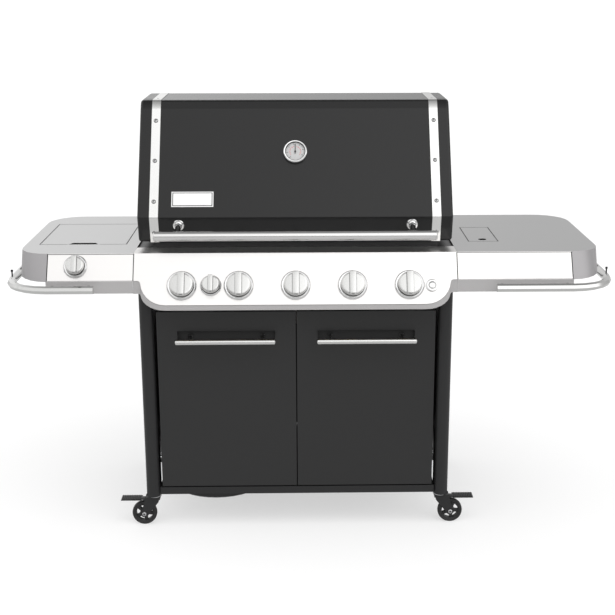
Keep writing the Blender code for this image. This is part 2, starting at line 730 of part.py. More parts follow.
# ---------------------------------------------------------------- cookbox and what is in it
def cookbox():
    """Cast tub, open above and at its grease outlet, with a tall back and two tall cheeks with hinge bores."""
    rim = [(-BOX_HALF, BOX_FRONT), (BOX_HALF, BOX_FRONT), (BOX_HALF, BOX_REAR), (-BOX_HALF, BOX_REAR)]
    half, front, rear = OUTLET
    outlet = [(-half, front), (half, front), (half, rear), (-half, rear)]
    rings = [(rim, BOX_RIM), (rim, BOX_WAIST), (outlet, BOX_OUTLET)]
    points = [(x, y, z) for loop, z in rings for x, y in loop]
    walls = [
        (4 * k + i, 4 * k + 4 + i, 4 * k + 4 + (i + 1) % 4, 4 * k + (i + 1) % 4)
        for k in range(2)
        for i in range(4)
    ]
    tub = add("cookbox", mesh_from("cookbox", points, walls), CASTING)
    thicken(tub, BOX_WALL)
    edge = BOX_HALF - 0.001
    join(tub, box("hood_back", (-edge, BOX_REAR - 0.007, 0.880), (edge, BOX_REAR + 0.001, HOOD_BACK_TOP), tool=True))
    for side in (-1, 1):
        near, far = BOX_FRONT + 0.001, BOX_REAR - 0.002
        outline = [(near, 0.900), (far, 0.900), (far, CHEEK_TOP), (near, CHEEK_TOP)]
        low, high = sided(side, BOX_HALF - BOX_WALL - 0.002, BOX_HALF + 0.002)
        join(tub, slab(f"hinge_cheek_{side_name(side)}", outline, low, high, "x", tool=True))
    shelf = BOX_WALL - 0.001
    ledges = [
        ((-0.430, BOX_FRONT + shelf, 0.886), (0.430, BOX_FRONT + 0.014, 0.890)),
        ((-0.430, BOX_REAR - 0.016, 0.886), (0.430, BOX_REAR - shelf, 0.890)),
    ]
    join(tub, boxes("grate_ledges", ledges, tool=True))
    bores = [((s * (BOX_HALF - 0.012), *PIVOT), (s * (BOX_HALF + 0.008), *PIVOT)) for s in (-1, 1)]
    cut(tub, rods("hinge_bores", bores, PIN_RADIUS + 2 * GAP, tool=True, sides=12))
    mouths = [((x, 0.070, BURNER_HEIGHT), (x, 0.100, BURNER_HEIGHT)) for x in knob_places()]
    cut(tub, rods("burner_mouths", mouths, BURNER_RADIUS + 0.001, tool=True, sides=10))


def knob_places():
    middle = (MAIN_KNOBS - 1) / 2
    return [(i - middle) * KNOB_PITCH for i in range(MAIN_KNOBS)]


def main_burners():
    """Burner tubes through the front wall, tied by their crossover channel at the back."""
    ends = [((x, 0.055, BURNER_HEIGHT), (x, 0.500, BURNER_HEIGHT)) for x in knob_places()]
    tubes = rods("main_burners", ends, BURNER_RADIUS, STEEL, sides=10)
    last = knob_places()[-1]
    channel = box("crossover", (-last - 0.020, 0.470, 0.815), (last + 0.020, 0.490, 0.829), tool=True)
    join(tubes, channel)


def heat_tents():
    """Bent steel tents over the burners, hung on two cross rails."""
    rails = boxes(
        "heat_tents",
        [((-0.432, y, 0.856), (0.432, y + 0.006, 0.862)) for y in (0.110, 0.515)],
        STEEL,
    )
    for i, x in enumerate(knob_places()):
        line = [(x - 0.030, TENT_TOP - 0.028), (x, TENT_TOP), (x + 0.030, TENT_TOP - 0.028)]
        points = [(u, y, w) for y in (0.102, 0.528) for u, w in line]
        tent = add(f"tent_{i}", mesh_from(f"tent_{i}", points, [(0, 3, 4, 1), (1, 4, 5, 2)]), None, tool=True)
        thicken(tent, 0.0016, offset=0)
        join(rails, tent)


def grate(side):
    """Cast cooking grate: long bars over three cross bars."""
    low, high = sided(side, 0.004, 0.430)
    pitch = (high - low - GRATE_BAR[0]) / (GRATE_BARS - 1)
    top, foot = GRATE_TOP, GRATE_TOP - GRATE_BAR[1]
    long_bars = [
        ((low + i * pitch, BOX_FRONT + 0.006, foot), (low + i * pitch + GRATE_BAR[0], BOX_REAR - 0.010, top))
        for i in range(GRATE_BARS)
    ]
    bars = boxes(f"cooking_grate_{side_name(side)}", long_bars, CAST)
    ties = [
        ((low + 0.001, y, foot - 0.0045), (high - 0.001, y + 0.007, foot + 0.003))
        for y in (BOX_FRONT + 0.008, 0.313, BOX_REAR - 0.018)
    ]
    join(bars, boxes(bars.name + "_ties", ties, tool=True))


def warming_rack():
    """Wire rack that lies across the tops of the hinge cheeks."""
    half = 0.0025
    z = CHEEK_TOP + half + GAP
    wires = [((-0.438, y - half, z - half), (0.438, y + half, z + half)) for y in (0.312, 0.350, 0.388, 0.424)]
    rack = boxes("warming_rack", wires, CHROME)
    cross = [
        ((0.1 * i - half, 0.311, z - 0.001), (0.1 * i + half, 0.425, z + half + 0.001)) for i in range(-4, 5)
    ]
    join(rack, boxes("rack_cross", cross, tool=True))


def broiler_burner():
    """Top-down infrared burner: a shallow box on the hood's back, open below over its mesh."""
    body = box("broiler_burner", (-0.210, 0.4305, 1.030), (0.210, BOX_REAR - 0.0075, 1.068), STEEL)
    cut(body, box("broiler_mouth", (-0.206, 0.4345, 1.020), (0.206, BOX_REAR - 0.0115, 1.064), tool=True))


# ---------------------------------------------------------------- control panel
def panel_edge():
    """Lower edge of the panel as (x, distance down the slope), from the left seam to the right one."""
    radius = PANEL_DROP - EAR_DROP
    turn_in = PANEL_STRAIGHT + radius
    right = [
        (PANEL_STRAIGHT + radius * math.sin(a), EAR_DROP + radius * math.cos(a))
        for a in (math.radians(d) for d in range(0, 85, 12))
    ]
    right.append((turn_in, EAR_DROP + EAR_FILLET))
    right += [
        (turn_in + EAR_FILLET * (1 - math.cos(a)), EAR_DROP + EAR_FILLET * (1 - math.sin(a)))
        for a in (math.radians(d) for d in (30, 60, 90))
    ]
    right.append((BODY_HALF - GAP / 2, EAR_DROP))
    return [(-x, s) for x, s in reversed(right)] + right


def slope_frame():
    """Empty on the worktop's front edge whose local x, y and z are right, up the slope and out of it."""
    return empty("slope_frame", (0, 0, WORKTOP), SLOPE_TURN, ORIGIN)


def bezel(name, centre, inner, outer, frame, height=0.007):
    """Ring round a knob, standing out of the sheet that it is joined to."""
    profile = [(inner, height), (outer - 0.003, height), (outer, -0.0011), (inner, -0.0011)]
    return turned(name, profile, parent=frame, place=centre, tool=True, steps=16, ring=True)


def control_panel(frame):
    """Folded steel panel: a shelf, the sloping face with its swept ends, and the knobs' bezels."""
    foot = on_slope(0, PANEL_DROP)
    line = [(SHELF_DEPTH, WORKTOP), (0, WORKTOP), (foot.y, foot.z)]
    edge = BODY_HALF - GAP / 2
    panel = strip("control_panel", line, -edge, edge, STEEL)
    thicken(panel, SHEET)
    outline = panel_edge()
    for side in (-1, 1):
        half = [(x, -s) for x, s in outline if x * side > PANEL_STRAIGHT - 0.0001]
        half = half if side > 0 else half[::-1]
        beyond = [(side * (edge + 0.02), half[-1][1]), (side * (edge + 0.02), -PANEL_DROP - 0.02)]
        corner = half + beyond + [(half[0][0], -PANEL_DROP - 0.02)]
        tool = slab(f"panel_corner_{side_name(side)}", corner, -0.03, 0.03, "z", parent=frame, tool=True)
        cut(panel, tool)
    stems = [(x, KNOB_ROW) for x in (*knob_places(), BROILER_KNOB_X)]
    ends = [((x, -s, -0.01), (x, -s, 0.01)) for x, s in stems]
    cut(panel, rods("stem_holes", ends, STEM_HOLE, parent=frame, tool=True, sides=12))
    at = (BUTTON_X, -BUTTON_ROW)
    cut(panel, rods("button_hole", [((*at, -0.01), (*at, 0.01))], BUTTON_RADIUS + 0.0007, parent=frame, tool=True))
    sizes = [MAIN_KNOB] * MAIN_KNOBS + [SMALL_KNOB]
    for i, ((x, s), radius) in enumerate(zip(stems, sizes, strict=True)):
        reach = BEZEL_RIM if radius == MAIN_KNOB else 0.004
        join(panel, bezel(f"bezel_{i}", (x, -s, 0), radius - 0.004, radius + reach, frame))
    join(panel, bezel("button_bezel", (*at, 0), BUTTON_RADIUS + 0.001, 0.019, frame, 0.005))


def panel_surround():
    """Grey skirt that follows the panel's lower edge and meets the band under each table."""
    outline = panel_edge()
    ear = on_slope(0, EAR_DROP).z - BAND_FOOT
    lip = on_slope(0, PANEL_DROP).z - LIP_FOOT
    behind = Vector((0, TILT_COS, -TILT_SIN)) * (SHEET + 0.0004)
    top, foot = [], []
    for x, down in outline:
        share = (down - EAR_DROP) / (PANEL_DROP - EAR_DROP)
        point = on_slope(x, down + 0.0005) + behind
        top.append(tuple(point))
        foot.append((point.x, point.y, point.z - ear - (lip - ear) * share))
    n = len(outline)
    faces = [(i, n + i, n + i + 1, i + 1) for i in range(n - 1)]
    skirt = add("panel_surround", mesh_from("panel_surround", top + foot, faces), GREY)
    thicken(skirt, 0.0025, offset=-1)


def gas_manifold(frame):
    """Gas pipe behind the panel with a valve body at each knob and the hose's inlet fitting."""
    run = ((-0.420, -KNOB_ROW, -0.052), (0.400, -KNOB_ROW, -0.052))
    pipe_run = rods("gas_manifold", [run], 0.009, BRASS, frame, sides=10)
    at = [(x, -KNOB_ROW) for x in (*knob_places(), BROILER_KNOB_X)]
    valves = [((*p, -0.056), (*p, -0.020)) for p in at]
    join(pipe_run, rods("valve_bodies", valves, 0.011, parent=frame, tool=True, sides=8))
    inlet = ((-0.405, -KNOB_ROW, -0.052), (-0.405, -KNOB_ROW, -0.092))
    join(pipe_run, rods("hose_inlet", [inlet], 0.006, parent=frame, tool=True, sides=8))


def knob(name, x, down, radius, frame):
    """Cap with a skirt, a grip bar across it and the stem that enters the valve."""
    axis = empty(name + "_axis", (x, -down, 0), parent=frame)
    profile = [
        (0, 0.026), (radius - 0.005, 0.026), (radius - 0.001, 0.022), (radius, 0.010),
        (STEM_RADIUS, 0.010), (STEM_RADIUS, -0.018), (0, -0.018),
    ]
    cap = turned(name, profile, STEEL, axis, steps=16)
    width, length = radius * 0.19, radius - GRIP_END
    grip = box(name + "_grip", (-width, -length, 0.020), (width, length, GRIP_TIP), parent=axis, tool=True)
    join(cap, grip)


def light_button(frame):
    axis = empty("light_button_axis", (BUTTON_X, -BUTTON_ROW, 0), parent=frame)
    profile = [(0, 0.0065), (0.009, 0.0065), (BUTTON_RADIUS, 0.0045), (BUTTON_RADIUS, -0.006), (0, -0.006)]
    turned("light_button", profile, CHROME, axis, steps=14)


# ---------------------------------------------------------------- side tables
def table_loop(outer, drop):
    """Plan of a table's edge at its top (drop 0) or at the foot of its fascia (drop 1)."""
    lean = drop * (WORKTOP - FASCIA_FOOT) * math.tan(FACE_TILT)
    flare = drop * SIDE_FLARE
    inner = BODY_HALF + GAP / 2
    front = [
        (
            outer - FRONT_CORNER + (FRONT_CORNER + flare) * math.sin(a),
            FRONT_CORNER - (FRONT_CORNER + lean) * math.cos(a),
        )
        for a in (math.radians(d) for d in range(0, 91, 15))
    ]
    rear = [
        (
            outer - REAR_CORNER + (REAR_CORNER + flare) * math.cos(a),
            TABLE_REAR - REAR_CORNER + REAR_CORNER * math.sin(a),
        )
        for a in (math.radians(d) for d in range(0, 91, 15))
    ]
    return [(inner, -lean), *front, *rear, (inner, TABLE_REAR)]


def well(name, opening, foot, side):
    """Open-topped tray that hangs under an opening: its outer block and its hollow."""
    near, far, front, rear = opening
    wall = SHEET
    low, high = sided(side, near + LEDGE - wall, far - LEDGE + wall)
    block = box(
        name + "_block",
        (low, front + LEDGE - wall, foot - wall),
        (high, rear - LEDGE + wall, WORKTOP - 0.0005 - SHEET),
        tool=True,
    )
    rim_low, rim_high = sided(side, near - 0.006, far + 0.006)
    rim = box(
        name + "_rim",
        (rim_low, front - 0.006, WORKTOP - 2 * SHEET),
        (rim_high, rear + 0.006, WORKTOP - SHEET + GAP),
        tool=True,
    )
    low, high = sided(side, near + LEDGE, far - LEDGE)
    hollow = box(name + "_hollow", (low, front + LEDGE, foot), (high, rear - LEDGE, WORKTOP + 0.01), tool=True)
    return block, rim, hollow


def table(side, outer, opening, foot):
    """Pressed table: top, skirt all round with a sloping front, band under it, and a well."""
    name = f"table_{side_name(side)}"
    top, low = table_loop(outer, 0), table_loop(outer, 1)
    n = len(top)
    points = [(side * x, y, WORKTOP) for x, y in top] + [(side * x, y, FASCIA_FOOT) for x, y in low]
    faces = [tuple(range(n))] + [(i, n + i, n + (i + 1) % n, (i + 1) % n) for i in range(n)]
    if side < 0:
        faces = [face[::-1] for face in faces]
    shell = add(name, mesh_from(name, points, faces), STEEL)
    thicken(shell, SHEET)
    near, far, front, rear = opening
    cut_low, cut_high = sided(side, near, far)
    hole = box(name + "_opening", (cut_low, front, WORKTOP - 0.004), (cut_high, rear, WORKTOP + 0.01), tool=True)
    cut(shell, hole)
    block, rim, hollow = well(name + "_well", opening, foot, side)
    join(shell, rim)
    join(shell, block)
    cut(shell, hollow)
    lean = (WORKTOP - FASCIA_FOOT) * math.tan(FACE_TILT)
    band_low, band_high = sided(side, BODY_HALF + GAP / 2, outer - FRONT_CORNER)
    band = box(
        name + "_band",
        (band_low, -lean + 0.0004, BAND_FOOT),
        (band_high, -lean + 0.0026, FASCIA_FOOT + 0.002),
        tool=True,
    )
    join(shell, band)
    return shell


def lid_plate(name, opening, side):
    """Flush plate over a table's well, turning on its rear edge."""
    near, far, front, rear = opening
    low, high = sided(side, near + SEAM, far - SEAM)
    hinge = (side * (near + far) / 2, rear - SEAM, WORKTOP + 0.0005)
    axis = empty(name + "_axis", hinge, parent=ORIGIN)
    plate = box(name, (low, front + SEAM, WORKTOP - SHEET + 2 * GAP), (high, rear - SEAM, WORKTOP), STEEL)
    hang(plate, axis)
    return plate, axis


def left_table(frame):
    shell = table(-1, LEFT_TABLE, BURNER_LID, WELL_FOOT)
    at = (SIDE_KNOB_X, -SIDE_KNOB_ROW)
    cut(shell, rods("side_stem_hole", [((*at, -0.01), (*at, 0.01))], STEM_HOLE, parent=frame, tool=True, sides=12))
    join(shell, bezel("side_bezel", (*at, 0), SIDE_KNOB - 0.004, SIDE_KNOB + 0.007, frame))
    plate, axis = lid_plate("side_burner_lid", BURNER_LID, -1)
    middle, outer, inner, depth = NOTCH
    front = BURNER_LID[2]
    outline = [(-middle - outer, front), (-middle + outer, front), (-middle + inner, front + depth), (-middle - inner, front + depth)]
    notch = slab("lid_notch", [(x, y) for x, y in outline], WORKTOP - 0.01, WORKTOP + 0.01, "z", tool=True)
    hang(notch, axis)
    cut(plate, notch)
    side_burner()


def side_burner():
    """Round cast burner in the left table's well, and the pan support over it."""
    near, far, front, rear = BURNER_LID
    middle = Vector((-(near + far) / 2, (front + rear) / 2, WELL_FOOT + GAP))
    profile = [
        (0, 0.024), (0.040, 0.024), (0.047, 0.020), (0.047, 0.013), (0.040, 0.012), (0.040, 0.006),
        (0.055, 0.005), (0.055, 0), (0, 0),
    ]
    turned("side_burner", profile, BRASS, place=middle, steps=16)
    z_foot, z_top = middle.z, 0.9085
    reach_x, reach_y = (far - near) / 2 - LEDGE - 0.012, (rear - front) / 2 - LEDGE - 0.012
    bar = 0.004
    long_bars = [
        (
            (middle.x + u - bar, middle.y - reach_y, 0.8945),
            (middle.x + u + bar, middle.y + reach_y, z_top),
        )
        for u in (-reach_x + bar, -0.038, 0.038, reach_x - bar)
    ]
    grid = boxes("side_burner_grate", long_bars, CAST)
    cross_bars = [
        (
            (middle.x - reach_x + 0.001, middle.y + v - bar, 0.8955),
            (middle.x + reach_x - 0.001, middle.y + v + bar, z_top - 0.001),
        )
        for v in (-reach_y + bar + 0.001, -0.038, 0.038, reach_y - bar - 0.001)
    ]
    join(grid, boxes("grate_cross", cross_bars, tool=True))
    feet = [
        (
            (middle.x + a * (reach_x - bar) - 0.003, middle.y + b * (reach_y - bar - 0.001) - 0.003, z_foot),
            (middle.x + a * (reach_x - bar) + 0.003, middle.y + b * (reach_y - bar - 0.001) + 0.003, 0.900),
        )
        for a in (-1, 1)
        for b in (-1, 1)
    ]
    join(grid, boxes("grate_feet", feet, tool=True))


def right_table():
    table(1, RIGHT_TABLE, HATCH_LID, HATCH_FOOT)
    plate, axis = lid_plate("hatch_lid", HATCH_LID, 1)
    x, y, radius = FINGER_HOLE
    hole = rods("finger_hole", [((x, y, WORKTOP - 0.01), (x, y, WORKTOP + 0.01))], radius, tool=True, sides=20)
    hang(hole, axis)
    cut(plate, hole)


def rail(side, outer):
    """Steel tube along a table's front, round its corner and back along its side, on brackets."""
    line_x = outer + RAIL_OUT
    corner = [(RAIL_START, RAIL_FRONT), (line_x, RAIL_FRONT), (line_x, RAIL_REAR)]
    plan = rounded(corner, [0, RAIL_BEND, 0], steps=6)
    points = [(side * x, y, RAIL_HEIGHT) for x, y in plan]
    tube = pipe(f"rail_{side_name(side)}", points, RAIL_RADIUS, CHROME)
    skirt = -(WORKTOP - FASCIA_FOOT) * math.tan(FACE_TILT) + 0.0001
    span = outer - FRONT_CORNER
    for i, x in enumerate((RAIL_START + 0.020, span - 0.020)):
        ends = ((side * x, RAIL_FRONT, RAIL_HEIGHT), (side * x, skirt, RAIL_HEIGHT))
        join(tube, rods(f"{tube.name}_stay_{i}", [ends], 0.006, tool=True, sides=10))
    for i, y in enumerate((0.150, RAIL_REAR - 0.030)):
        arm = (
            (side * (line_x - 0.002), y - 0.010, RAIL_HEIGHT - 0.002),
            (side * (outer - 0.030), y + 0.010, RAIL_HEIGHT + 0.002),
        )
        low = tuple(map(min, *arm))
        high = tuple(map(max, *arm))
        join(tube, box(f"{tube.name}_arm_{i}", low, high, tool=True))
        lift = (
            (side * (outer - 0.030), y - 0.0095, RAIL_HEIGHT - 0.0015),
            (side * (outer - 0.026), y + 0.0095, WORKTOP - SHEET - GAP),
        )
        join(tube, box(f"{tube.name}_lift_{i}", tuple(map(min, *lift)), tuple(map(max, *lift)), tool=True))


# ---------------------------------------------------------------- lid
def lid_line():
    """The lid's outer profile as (y, z), from its front foot over the top to its rear foot."""
    corners = [LID_FOOT, LID_RIDGE, LID_BROW, LID_CROWN, (LID_REAR, LID_TOP), (LID_REAR, LID_REAR_FOOT)]
    return rounded(corners, [0, 0.006, 0.012, 0.014, LID_REAR_RADIUS, 0], steps=2)[:-1] + [(LID_REAR, LID_REAR_FOOT)]


def lid_shell(axis):
    edge = LID_HALF - CAP_WIDTH - GAP
    shell = strip("lid_shell", lid_line(), -edge, edge, ENAMEL)
    thicken(shell, SHEET, offset=1)
    at = face_point(THERMOMETER_HEIGHT)
    normal = Vector((0, -math.cos(LID_TILT), math.sin(LID_TILT)))
    hole = rods("probe_hole", [(at - normal * 0.02, at + normal * 0.02)], 0.004, tool=True, sides=12)
    cut(shell, hole)
    hang(hole, axis)
    hang(shell, axis)


def face_point(height, x=0.0):
    """The point on the lid's sloping face at that height."""
    return Vector((x, LID_RIDGE[0] + (height - LID_RIDGE[1]) * math.tan(LID_TILT), height))


def other_hand(made):
    """Swaps a finished right-hand piece for its left-hand twin, mirrored across the grill's middle."""
    bpy.context.view_layer.update()
    mesh = bpy.data.meshes.new_from_object(made.evaluated_get(bpy.context.evaluated_depsgraph_get()))
    mesh.transform(Matrix.Scale(-1, 4, (1, 0, 0)))
    mesh.flip_normals()
    made.modifiers.clear()
    made.data = mesh


def lid_cap(side, axis):
    """Cast end cap: a deep pan with rounded edges, whose boss carries a pin through the firebox's cheek."""
    name = f"lid_cap_{side_name(side)}"
    arc = [
        (PIVOT[0] + PIVOT_RADIUS * math.cos(a), PIVOT[1] + PIVOT_RADIUS * math.sin(a))
        for a in (math.radians(-d) for d in (0, 30, 60, 90))
    ]
    outline = lid_line() + arc
    n = len(outline)
    points = [(x, y, z) for x in (LID_HALF, LID_HALF - CAP_WIDTH) for y, z in outline]
    faces = [tuple(range(n))[::-1]] + [(i, (i + 1) % n, n + (i + 1) % n, n + i) for i in range(n)]
    cap = add(name, mesh_from(name, points, faces), CASTING)
    round_edges(cap, CAP_ROUND, 2, 60)
    thicken(cap, 0.005, offset=-1)
    boss_ends = LID_HALF - CAP_WIDTH + 0.003, LID_HALF - 0.002
    boss = rods(name + "_boss", [tuple((x, *PIVOT) for x in boss_ends)], 0.015, tool=True)
    pin_ends = BOX_HALF - BOX_WALL - 0.0015, LID_HALF - 0.020
    pin = rods(name + "_pin", [tuple((x, *PIVOT) for x in pin_ends)], PIN_RADIUS, tool=True, sides=12)
    join(cap, boss)
    join(cap, pin)
    if side < 0:
        other_hand(cap)
    for piece in (cap, boss, pin):
        hang(piece, axis)


def lid_trim(side, axis):
    """Steel strip screwed over the joint between the shell and an end cap."""
    line = lid_line()
    line = moved_out(line[:-2], GAP)
    outer = LID_HALF - CAP_WIDTH - GAP
    low, high = sided(side, outer - TRIM_WIDTH, outer)
    strip_made = strip(f"lid_trim_{side_name(side)}", line, low, high, CHROME)
    thicken(strip_made, TRIM_SHEET, offset=-1)
    hang(strip_made, axis)


def lid_handle(axis):
    """Round bar on two flanged posts that stand square on the lid's lower band."""
    span_y, span_z = LID_RIDGE[0] - LID_FOOT[0], LID_RIDGE[1] - LID_FOOT[1]
    out = Vector((0, -span_z, span_y)).normalized()
    share = (HANDLE_POST_HEIGHT - LID_FOOT[1]) / span_z
    foot = Vector((0, LID_FOOT[0] + span_y * share, HANDLE_POST_HEIGHT)) + out * GAP * 2
    middle = foot + out * HANDLE_STANDOFF
    reach = Vector((HANDLE_HALF, 0, 0))
    bar = rods("lid_handle", [(middle - reach, middle + reach)], HANDLE_RADIUS, CHROME, sides=20)
    for side in (-1, 1):
        across = Vector((side * HANDLE_POST_X, 0, 0))
        post = rods(f"handle_post_{side_name(side)}", [(foot + across, middle + across)], POST_RADIUS, tool=True)
        flange_top = foot + across + out * 0.006
        flange = rods(f"post_flange_{side_name(side)}", [(foot + across, flange_top)], 0.018, tool=True)
        for tool in (post, flange):
            join(bar, tool)
            hang(tool, axis)
    hang(bar, axis)


def thermometer(axis):
    """Dial case with its probe through the lid, and the needle that turns over the dial."""
    at = face_point(THERMOMETER_HEIGHT)
    frame = empty("thermometer_frame", at - Vector(axis.location), (math.pi / 2 - LID_TILT, 0, 0), axis)
    r = THERMOMETER_RADIUS
    profile = [
        (0, 0.008), (r - 0.0045, 0.008), (r - 0.0045, 0.013), (r - 0.0015, 0.013), (r, 0.010),
        (r, 0.0004), (0.003, 0.0004), (0.003, -0.070), (0, -0.070),
    ]
    turned("thermometer", profile, CHROME, frame, steps=20)
    needle_axis = empty("thermometer_needle_axis", (0, 0, 0.0085), parent=frame)
    needle = turned("thermometer_needle", [(0, 0.0018), (0.003, 0.0018), (0.003, 0), (0, 0)], ENAMEL, needle_axis, steps=12)
    blade = box("needle_blade", (-0.0011, -0.008, 0.0003), (0.0011, 0.024, 0.0012), parent=needle_axis, tool=True)
    join(needle, blade)


def lid():
    axis = empty("lid_axis", (0, *PIVOT), parent=ORIGIN)
    lid_shell(axis)
    for side in (-1, 1):
        lid_cap(side, axis)
        lid_trim(side, axis)
    lid_handle(axis)
    thermometer(axis)


# ---------------------------------------------------------------- the whole grill
def build():
    frame = slope_frame()
    base_panel()
    cylinder_dish()
    back_panel()
    tray_subframe()
    grease_tray()
    for side in (-1, 1):
        front_leg(side)
        side_frame(side)
        side_panel(side)
        door(side)
        grate(side)
        place = side_name(side)
        caster(side, CASTER_FRONT, f"front_{place}", True)
        caster(side, CASTER_REAR, f"rear_{place}", False)
    cookbox()
    main_burners()
    heat_tents()
    warming_rack()
    broiler_burner()
    control_panel(frame)
    panel_surround()
    gas_manifold(frame)
    for i, x in enumerate(knob_places()):
        knob(f"knob_main_{i + 1}", x, KNOB_ROW, MAIN_KNOB, frame)
    knob("knob_broiler", BROILER_KNOB_X, KNOB_ROW, SMALL_KNOB, frame)
    knob("knob_side_burner", SIDE_KNOB_X, SIDE_KNOB_ROW, SIDE_KNOB, frame)
    light_button(frame)
    left_table(frame)
    right_table()
    rail(-1, LEFT_TABLE)
    rail(1, RIGHT_TABLE)
    lid()


build()
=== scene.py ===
"""Gas barbecue grill on a cabinet cart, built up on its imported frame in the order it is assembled."""

import math

import bpy
from mathutils import Matrix, Vector


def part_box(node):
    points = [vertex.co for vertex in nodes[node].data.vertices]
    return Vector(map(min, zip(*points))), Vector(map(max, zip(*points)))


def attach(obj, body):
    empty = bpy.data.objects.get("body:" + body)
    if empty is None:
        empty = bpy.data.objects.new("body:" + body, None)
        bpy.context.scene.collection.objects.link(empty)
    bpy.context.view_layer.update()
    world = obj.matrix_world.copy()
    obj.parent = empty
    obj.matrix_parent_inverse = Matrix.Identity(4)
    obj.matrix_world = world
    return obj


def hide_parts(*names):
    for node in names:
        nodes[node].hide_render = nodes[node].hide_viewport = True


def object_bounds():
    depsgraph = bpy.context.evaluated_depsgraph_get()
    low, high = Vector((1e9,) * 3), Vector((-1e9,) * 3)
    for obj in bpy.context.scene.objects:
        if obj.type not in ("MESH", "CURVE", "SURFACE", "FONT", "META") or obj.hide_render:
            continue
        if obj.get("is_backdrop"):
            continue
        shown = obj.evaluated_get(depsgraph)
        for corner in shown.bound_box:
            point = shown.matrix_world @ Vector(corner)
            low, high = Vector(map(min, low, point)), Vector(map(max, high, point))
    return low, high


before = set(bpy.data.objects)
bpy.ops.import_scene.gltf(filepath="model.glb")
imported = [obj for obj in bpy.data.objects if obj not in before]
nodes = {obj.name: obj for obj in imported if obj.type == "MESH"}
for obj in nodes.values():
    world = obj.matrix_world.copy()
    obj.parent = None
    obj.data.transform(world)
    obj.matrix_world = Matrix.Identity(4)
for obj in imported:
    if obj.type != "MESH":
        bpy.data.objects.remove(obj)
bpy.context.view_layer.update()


# ------------------------------------------------------------------ viewpoint
# A long lens at standing height, a little right of the cookbox's middle, looks down on the grill.
# The grill is laid out from the middle of the cookbox, the worktop's front edge and the floor.
middle = (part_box("lid_shell")[0].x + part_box("lid_shell")[1].x) / 2
TABLE_DEPTH = 0.588
front_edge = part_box("table_left")[1].y - TABLE_DEPTH
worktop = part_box("table_left")[1].z


def spot(x, y, z):
    """A place in the grill's own layout, in the frame's coordinates."""
    return Vector((middle + x, front_edge + y, z))


viewpoint = bpy.data.objects.new("viewpoint", bpy.data.cameras.new("viewpoint"))
bpy.context.scene.collection.objects.link(viewpoint)
viewpoint.location = spot(0.0196, -3.5014, 1.7090)
viewpoint.rotation_euler = (math.radians(90 - 15.487), math.radians(0.03), math.radians(-1.131))
viewpoint.data.lens = 69.09
viewpoint.data.sensor_width = 36
viewpoint.data.shift_x, viewpoint.data.shift_y = -0.02805, 0.0010
viewpoint.data.clip_end = 200
bpy.context.scene.camera = viewpoint
bpy.context.scene.view_settings.view_transform = "Standard"


# ------------------------------------------------------------------ studio floor and light
# A white sweep under a tent of soft light: bright in front and above, dark straight overhead, paler
# behind, and dim along the horizon, so that each tube and rolled edge is drawn by a darker line.
bpy.ops.object.select_all(action="DESELECT")
bpy.ops.mesh.primitive_plane_add(size=60, location=(0, 0, 0))
studio_floor = bpy.context.object
studio_floor.name = "studio_floor"
paper = bpy.data.materials.new("studio_paper")
paper.use_nodes = True
paper_nodes, paper_links = paper.node_tree.nodes, paper.node_tree.links
paper_shader = paper_nodes["Principled BSDF"]
paper_shader.inputs["Base Color"].default_value = (0.44, 0.44, 0.44, 1)
paper_shader.inputs["Roughness"].default_value = 0.9
paper_shader.inputs["Specular IOR Level"].default_value = 0
paper_shader.inputs["Emission Color"].default_value = (1, 1, 1, 1)
view_of_paper = paper_nodes.new("ShaderNodeLightPath")
paper_glow = paper_nodes.new("ShaderNodeMapRange")
paper_glow.inputs["To Min"].default_value = 0.16
paper_glow.inputs["To Max"].default_value = 0.56
paper_links.new(view_of_paper.outputs["Is Camera Ray"], paper_glow.inputs["Value"])
paper_links.new(paper_glow.outputs["Result"], paper_shader.inputs["Emission Strength"])
studio_floor.data.materials.append(paper)
studio_floor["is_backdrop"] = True

tent = bpy.data.worlds.new("light_tent")
bpy.context.scene.world = tent
tent.use_nodes = True
tent_nodes, tent_links = tent.node_tree.nodes, tent.node_tree.links
tent_nodes.clear()
direction = tent_nodes.new("ShaderNodeTexCoord")
way = tent_nodes.new("ShaderNodeSeparateXYZ")
tent_links.new(direction.outputs["Generated"], way.inputs[0])


def light_band(steps):
    """Brightness by height: (sine of the elevation, brightness) pairs."""
    height = tent_nodes.new("ShaderNodeMapRange")
    height.inputs["From Min"].default_value = -1
    tent_links.new(way.outputs["Z"], height.inputs["Value"])
    band = tent_nodes.new("ShaderNodeValToRGB")
    tent_links.new(height.outputs["Result"], band.inputs["Fac"])
    for rise, glow in steps[1:-1]:
        stop = band.color_ramp.elements.new((rise + 1) / 2)
        stop.color = (glow / 2, glow / 2, glow / 2, 1)
    for stop, (rise, glow) in ((band.color_ramp.elements[0], steps[0]), (band.color_ramp.elements[-1], steps[-1])):
        stop.color = (glow / 2, glow / 2, glow / 2, 1)
    return band.outputs["Color"]


def light_ramp(value, low, high, at_low, at_high):
    """A smooth change of brightness across the tent."""
    ramp = tent_nodes.new("ShaderNodeMapRange")
    ramp.interpolation_type = "SMOOTHSTEP"
    for socket, number in (("From Min", low), ("From Max", high), ("To Min", at_low), ("To Max", at_high)):
        ramp.inputs[socket].default_value = number
    tent_links.new(value, ramp.inputs["Value"])
    return ramp.outputs["Result"]


